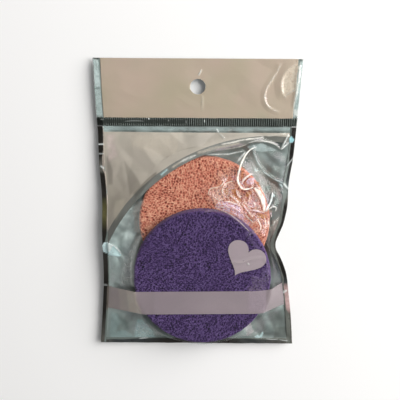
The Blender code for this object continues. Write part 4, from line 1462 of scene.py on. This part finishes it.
# Two places about the crimp for the header's bend, which nothing uses, and where it starts to be
# wavy and is wholly so, from its lower edge
BEND = (-1.1 * MM, 0.3 * MM)
WAVY = (-1.0 * MM, 8.0 * MM)
# Folds in the header's front film with painted highlights, and painted sheen and a cream painted reflection over
# its margins and right part
HEADER_FOLDS = (
    Fold(0.45, 0.7, 2.5, 0.4, 0.45, 0.4, (
        (280.8, 63.2), (277.2, 72), (271.3, 80.8), (266.2, 89.6), (264.7, 98.4), (267.6, 105.7),
        (272.8, 109.4), (280.1, 111.6),
    )),
    Fold(0.6, 1.2, 4.0, 0.1, 0.5, 0.4, (
        (296.2, 63.2), (288.9, 68.3), (282.3, 77.9), (281.6, 89.6), (284.5, 98.4),
    )),
    Fold(0.6, 1.2, 2.0, 0.6, 0.9, 0.35, ((300.6, 61.7), (297.7, 86.7), (293.3, 108.7))),
    Fold(0.5, 1.2, 2.0, 0.4, 0.6, 0.4, (
        (299.2, 64.7), (296.2, 79.3), (294.8, 89.6), (287.4, 94), (284.5, 98.4),
    )),
    Fold(0.25, 0.6, 0.6, 0.6, 0.6, 0.35, ((201.6, 69.1), (200, 73), (198, 75.7))),
    Fold(0.15, 1.2, 1.2, 0.1, 1.2, 0.4, ((202.4, 95.5), (202.4, 111.6))),
    Patch(0.4, 0.5, (
        (282.3, 77.9), (288.9, 68.3), (296.2, 63.2), (299.2, 64.7), (296.2, 79.3), (294.8, 89.6),
        (287.4, 94), (284.5, 98.4), (281.6, 89.6),
    )),
    Patch(0.42, 0.2, ((92.6, 59), (98.4, 59), (100.6, 88), (94.6, 88))),
    Patch(0.28, 0.2, ((94.6, 88), (100.6, 88), (102.6, 116), (96.6, 116))),
    Patch(0.25, 0.2, ((300.6, 62), (303.6, 62), (299, 110), (295, 110))),
    Patch(0.45, 0.3, ((293.3, 108.6), (298.6, 108.6), (298, 116.8), (293, 116.8)), 0.3),
)
# Its print's cut corners
HEADER_SHADES = (
    Patch(0.9, 0, ((91, 55), (98.8, 55), (98.8, 59.4), (91, 59.4)), 0.08),
    Patch(0.9, 0, ((299.8, 56), (306, 56), (306, 60.5), (299.8, 60.5)), 0.08),
)


def header_height(x, y):
    """The header's middle: gently wavy, and flat along the crimp."""
    loose = smooth_step(HEADER_LOW.y + WAVY[0], HEADER_LOW.y + WAVY[1], y)
    return crumpled(x, y, flat(x, y), HEADER_FACETS, loose)


def punched_grid(left, right):
    """Rings of points from the hang hole out to the header's outline between two side curves."""
    bottom = HEADER_LOW.y - FOLD_TUCK
    top = HEADER_HIGH.y
    height, width = top - bottom, float(right(top) - left(top))
    around = 2 * (height + width)
    upright = int(HOLE_SEGMENTS * height / around)
    level = int(HOLE_SEGMENTS * width / around)
    ys = np.linspace(bottom, top, upright, endpoint=False)
    ys_down = ys[::-1] + (ys[1] - ys[0])
    share = np.linspace(0, 1, level, endpoint=False)
    low_x = left(bottom) * (1 - share) + right(bottom) * share
    high_x = left(top) * (1 - share) + right(top) * share
    outline = np.concatenate([
        np.stack([low_x, 0 * share + bottom], 1),
        np.stack([right(ys), ys], 1),
        np.stack([high_x[::-1] + (high_x[1] - high_x[0]), 0 * share + top], 1),
        np.stack([left(ys_down), ys_down], 1),
    ])
    away = outline - HOLE[:2]
    rim = HOLE[:2] + HOLE[2] * away / np.hypot(*away.T)[:, None]
    t = np.linspace(0, 1, HOLE_RINGS + 1)[:, None, None]
    points = outline[None] * t + rim[None] * (1 - t)
    return points[::-1, :, 0], points[::-1, :, 1]


def print_left(y):
    return left_edge(y) + PRINT_MARGIN_LEFT


def print_right(y):
    return right_edge(y) - PRINT_MARGIN_RIGHT


def make_header(materials):
    """The header's back film, print and front film."""
    fold_start, fold_end = ((0, HEADER_LOW.y + bend, FLAT_HEIGHT) for bend in BEND)
    apart = (HEADER_INK + HEADER_FILM) / 2 + LAYER_GAP
    layers = (
        ("header_back_web", "header_back_film", left_edge, right_edge, -apart, HEADER_FILM,
         "metal", "metallised_film"),
        ("header_beige_print", "header_print", print_left, print_right, 0.0, HEADER_INK,
         "header_ink", "header_ink"),
        ("header_front_web", "header_front_film", left_edge, right_edge, apart, HEADER_FILM,
         "clear", "clear_film"),
    )
    for name, node, left, right, middle, thickness, finish, slot_name in layers:
        x, y = punched_grid(left, right)
        relief = Relief(x, y, flat).add(HEADER_FOLDS)
        height = header_height(x, y) + relief.added + middle
        shade = Relief(x, y, flat).add(HEADER_SHADES).gleam
        made = slab(name, x, y, height, thickness, materials[finish], closed_across=True,
                    gleam=relief.gleam, tint=relief.tint, facet=0 * x + HEADER_TONE, shade=shade)
        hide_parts(node)
        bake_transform(made)
        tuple(fold_start)
        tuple(fold_end)


# The foam: its mesh's step, its cells' sizes, and its table of random cells, which repeats, with
# the widths of the walls about them; the pores' depth; the rim's radius and how far it wanders
# from round; and how much painted light shows on a side, between two angles of its turn
FOAM_STEP = 0.42 * MM
CORAL_CELL = 1.45 * MM
PURPLE_CELL = 1.18 * MM
CELL_TABLE = 32
CELL_WALL = (0.1, 0.5)
PORE_DEPTH = 0.55 * MM
RIM_RADIUS = 1.3 * MM
EDGE_WANDER, WANDER_SIZE, WANDER_FROM = 0.25 * MM, 6 * MM, 0.85
SIDE_PAINTED_LIGHT, SIDE_TURN = 0.65, (0.35, 1.2)


def cells_at(points, size, seed):
    """For each point, how far it is inside a foam cell: 0 on a wall and 1 at its middle."""
    table = np.random.RandomState(seed).uniform(0, 1, (CELL_TABLE, CELL_TABLE, CELL_TABLE, 4))
    scaled = points / size
    base = np.floor(scaled).astype(int)
    first = np.full(len(points), np.inf)
    second = first.copy()
    openness = np.zeros(len(points))
    for step in np.ndindex(3, 3, 3):
        corner = base + np.array(step) - 1
        entry = table[tuple(corner.T % CELL_TABLE)]
        away = np.linalg.norm(corner + entry[:, :3] - scaled, axis=1)
        closer = away < first
        second = np.where(closer, first, np.minimum(second, away))
        openness = np.where(closer, entry[:, 3], openness)
        first = np.where(closer, away, first)
    return smooth_step(*CELL_WALL, second - first) * (0.5 + 0.5 * openness)


def disc_grid(cells):
    """A square grid drawn out to a disc: each point's share of the way to the rim, and angle."""
    line = np.linspace(-1, 1, cells + 1)
    a, b = np.meshgrid(line, line)
    share = np.maximum(np.abs(a), np.abs(b))
    safe_a = np.where(a == 0, 1, a)
    safe_b = np.where(b == 0, 1, b)
    sideways = pi / 4 * b / safe_a + np.where(a < 0, pi, 0)
    upright = pi / 2 - pi / 4 * a / safe_b + np.where(b < 0, pi, 0)
    angle = np.where(np.abs(a) > np.abs(b), sideways, upright)
    return share, np.where(share == 0, 0, angle)


def make_sponge(name, disc, body, node, finish, cell, seed):
    """A foam disc: two square grids drawn out to its rim and down its side, where they meet,
    with the pores pressed in."""
    half = (disc.high - disc.low) / 2
    lead, quarter, wall = disc.radius - RIM_RADIUS, RIM_RADIUS * pi / 2, half - RIM_RADIUS
    reach = lead + quarter + wall
    cells = 2 * int(reach / FOAM_STEP)
    share, angle = disc_grid(cells)
    along = share * reach
    turn = np.clip((along - lead) / RIM_RADIUS, 0, pi / 2)
    across = np.minimum(along, lead) + RIM_RADIUS * np.sin(turn)
    rise = half - RIM_RADIUS * (1 - np.cos(turn)) - np.maximum(along - lead - quarter, 0)
    wander = EDGE_WANDER * facets(angle * disc.radius, 0 * angle + seed * MM, WANDER_SIZE, seed)
    across = across - np.abs(wander) * smooth_step(WANDER_FROM, 1.0, share)
    x = across * np.cos(angle)
    y = across * np.sin(angle) * disc.longer
    points = np.stack([x, y, rise], axis=-1).reshape(-1, 3)
    normals = [np.sin(turn) * np.cos(angle), np.sin(turn) * np.sin(angle), np.cos(turn)]
    normals = np.stack(normals, axis=-1).reshape(-1, 3)
    rows = cells + 1
    rim = np.zeros((rows, rows), bool)
    rim[0] = rim[-1] = rim[:, 0] = rim[:, -1] = True
    rim = rim.ravel()
    lower = np.arange(rows * rows)
    lower[~rim] = rows * rows + np.arange((~rim).sum())
    points = np.concatenate([points, points[~rim] * (1, 1, -1)])
    normals = np.concatenate([normals, normals[~rim] * (1, 1, -1)])
    faces = grid_faces(rows, rows)
    faces = np.concatenate([faces, lower[faces][:, ::-1]])
    pore = cells_at(points, cell, seed)
    points = points - normals * (PORE_DEPTH * pore)[:, None]
    points = points + (disc.centre[0], disc.centre[1], (disc.low + disc.high) / 2)
    # Painted light on the sponge's side
    side = SIDE_PAINTED_LIGHT * smooth_step(*SIDE_TURN, turn).ravel()
    side = np.append(side, side[~rim])
    made = build_mesh(name, points, faces, finish, {"pore": pore, "side": side})
    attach(made, body)
    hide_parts(node)


# The corner panel's tones down the pouch, which grow darker lower down as painted shade
PANEL_TONES = (
    (131, (197, 188, 177)), (172, (190, 180, 169)), (200, (174, 164, 152)), (232, (178, 169, 158)),
)
# The webs' tone beside the fused edges, where these are narrow
STRIP_TONE, PANEL_TONE, WINDOW_TONE = (148, 157, 153), (168, 158, 148), (116, 126, 122)
BAND_TONE, SHADED_TONE = (108, 101, 94), (108, 112, 106)
BESIDE_LEFT = (
    (126, STRIP_TONE), (131, PANEL_TONE), (226, PANEL_TONE), (232, WINDOW_TONE), (283, WINDOW_TONE),
    (286, BAND_TONE), (308, BAND_TONE), (311, WINDOW_TONE), (343, WINDOW_TONE),
)
BESIDE_RIGHT = ((126, WINDOW_TONE), (190, STRIP_TONE), (215, SHADED_TONE), (343, SHADED_TONE))
BESIDE_BOTTOM = ((100, WINDOW_TONE), (292, SHADED_TONE))


def make_materials():
    return {
        "clear": clear_film_material("clear film"),
        "metal": metal_film_material(
            "metallised film", dark=linear(112, 124, 121), light=linear(190, 203, 201)),
        "beige": ink_material(
            "beige ink", linear(172, 161, 148), linear(186, 175, 162), PANEL_TONES),
        "grey": ink_material("grey ink", linear(112, 112, 106), linear(134, 134, 130)),
        "mauve": ink_material("mauve ink", linear(150, 136, 143), linear(161, 146, 153)),
        "heart": ink_material("heart ink", linear(167, 150, 158), linear(176, 160, 167)),
        "header_ink": ink_material("header ink", linear(202, 184, 162), linear(214, 189, 173)),
        "left_seal": seal_material("left fused edge", "Y", LEFT_TONES, BESIDE_LEFT),
        "right_seal": seal_material("right fused edge", "Y", RIGHT_TONES, BESIDE_RIGHT),
        "bottom_seal": seal_material("bottom fused edge", "X", BOTTOM_TONES, BESIDE_BOTTOM),
        # The crimp's dark valleys and light crests are painted shade and highlight
        "crimp": crimp_material("crimp", valley=linear(28, 32, 29), crest=linear(92, 100, 95)),
        # The foams' pore colours are painted shade, their crest and rim colours painted light
        "coral": foam_material(
            "coral foam", pore=linear(116, 48, 38), wall=linear(206, 122, 99),
            crest=linear(252, 198, 166), blush=linear(200, 116, 96), rim=linear(222, 140, 118)),
        "purple": foam_material(
            "purple foam", pore=linear(14, 4, 28), wall=linear(59, 35, 86),
            crest=linear(119, 96, 151), blush=linear(52, 31, 80), rim=linear(108, 80, 126)),
    }


# The stage: a floor that starts to glow white, to the camera and in mirrors, between two
# distances; the world's brightness by height, how much of it there is everywhere and about the
# key lamp, and the white along the horizon; and the key lamp
FLOOR_SIZE = 12.0
FLOOR_WHITE = (0.88, 0.88, 0.88, 1)
FLOOR_GLOW = 0.05
FAR_FLOOR = (0.4, 1.6)
SKY = ((0.0, 0.85), (0.5, 0.7), (0.8, 0.4), (1.0, 0.25))
SKY_LEVEL = 0.32
KEY_GLOW, KEY_GLOW_POWER = 0.5, 6.0
HORIZON = ((0.1, 1.0), (0.22, 0.0))
KEY_DIRECTION = Vector((0.7, 0.38, 0.62)).normalized()
KEY_DISTANCE = 1.2
KEY_SIZE = 1.1
KEY_POWER = 24.5
KEY_COLOUR = (1.0, 0.985, 0.965)
WHITE = grey(1.0)


def add_floor():
    """A white floor, which keeps the pouch's shadow and, to the camera and in mirrors, turns plain
    white far off."""
    half = FLOOR_SIZE / 2
    corners = [(-half, -half, 0), (half, -half, 0), (half, half, 0), (-half, half, 0)]
    mesh = bpy.data.meshes.new("floor")
    mesh.from_pydata(corners, [], [(0, 1, 2, 3)])
    made, tree = new_tree("floor white")
    cloth = add_node(tree, "BsdfDiffuse", Color=FLOOR_WHITE)
    away = add_node(tree, "VectorMath", operation="LENGTH", Vector=places_in(tree))
    level = add_node(tree, "MapRange", interpolation_type="SMOOTHSTEP", Value=away.outputs["Value"],
                     From_Min=FAR_FLOOR[0], From_Max=FAR_FLOOR[1], To_Min=FLOOR_GLOW, To_Max=1.0)
    glow = add_node(tree, "Emission", Color=WHITE, Strength=level.outputs["Result"])
    seen = add_node(tree, "LightPath")
    rays = math_node(tree, "MAXIMUM", seen.outputs["Is Camera Ray"], seen.outputs["Is Glossy Ray"])
    rays = math_node(tree, "MAXIMUM", rays, seen.outputs["Is Transmission Ray"])
    lit = join_shaders(tree, "AddShader", cloth, glow)
    chosen = join_shaders(tree, "MixShader", cloth, lit, Fac=rays)
    add_node(tree, "OutputMaterial", Surface=chosen.outputs[0])
    mesh.materials.append(made)
    add_object("floor", mesh)


def add_world():
    """Soft light all round, the same to every ray: weaker overhead, where the camera is, stronger
    about the key lamp, and white along the horizon."""
    world = bpy.data.worlds.new("studio")
    bpy.context.scene.world = world
    world.use_nodes = True
    tree = world.node_tree
    tree.nodes.clear()
    way = add_node(tree, "TexCoord").outputs["Generated"]
    height = add_node(tree, "SeparateXYZ", Vector=way).outputs["Z"]
    sky = greys(tree, height, *SKY)
    towards = add_node(tree, "VectorMath", operation="DOT_PRODUCT")
    feed(tree, towards.inputs[0], way)
    feed(tree, towards.inputs[1], KEY_DIRECTION)
    glow = math_node(tree, "MAXIMUM", towards.outputs["Value"], 0.0)
    glow = math_node(tree, "POWER", glow, KEY_GLOW_POWER)
    level = math_node(tree, "ADD", math_node(tree, "MULTIPLY", glow, KEY_GLOW), SKY_LEVEL)
    horizon = greys(tree, height, *HORIZON)
    strength = math_node(tree, "MAXIMUM", math_node(tree, "MULTIPLY", sky, level), horizon)
    light = add_node(tree, "Background", Color=WHITE, Strength=strength)
    add_node(tree, "OutputWorld", Surface=light.outputs[0])


def add_key_lamp():
    """A square area lamp that faces the pouch."""
    data = bpy.data.lights.new("key", "AREA")
    data.size = KEY_SIZE
    data.energy = KEY_POWER
    data.color = KEY_COLOUR
    lamp = add_object("key", data)
    lamp.location = KEY_DIRECTION * KEY_DISTANCE
    lamp.rotation_euler = KEY_DIRECTION.to_track_quat("Z", "Y").to_euler()


bpy.context.scene.view_settings.view_transform = "Standard"
add_camera()
add_floor()
add_world()
add_key_lamp()
finishes = make_materials()
make_films(finishes)
make_seals(finishes)
make_crimp(finishes)
make_header(finishes)
make_sponge("coral_foam_disc", coral, "coral_pad", "coral_sponge",
            finishes["coral"], CORAL_CELL, 51)
make_sponge("purple_foam_disc", purple, "purple_pad", "purple_sponge",
            finishes["purple"], PURPLE_CELL, 52)

bpy.context.view_layer.update()
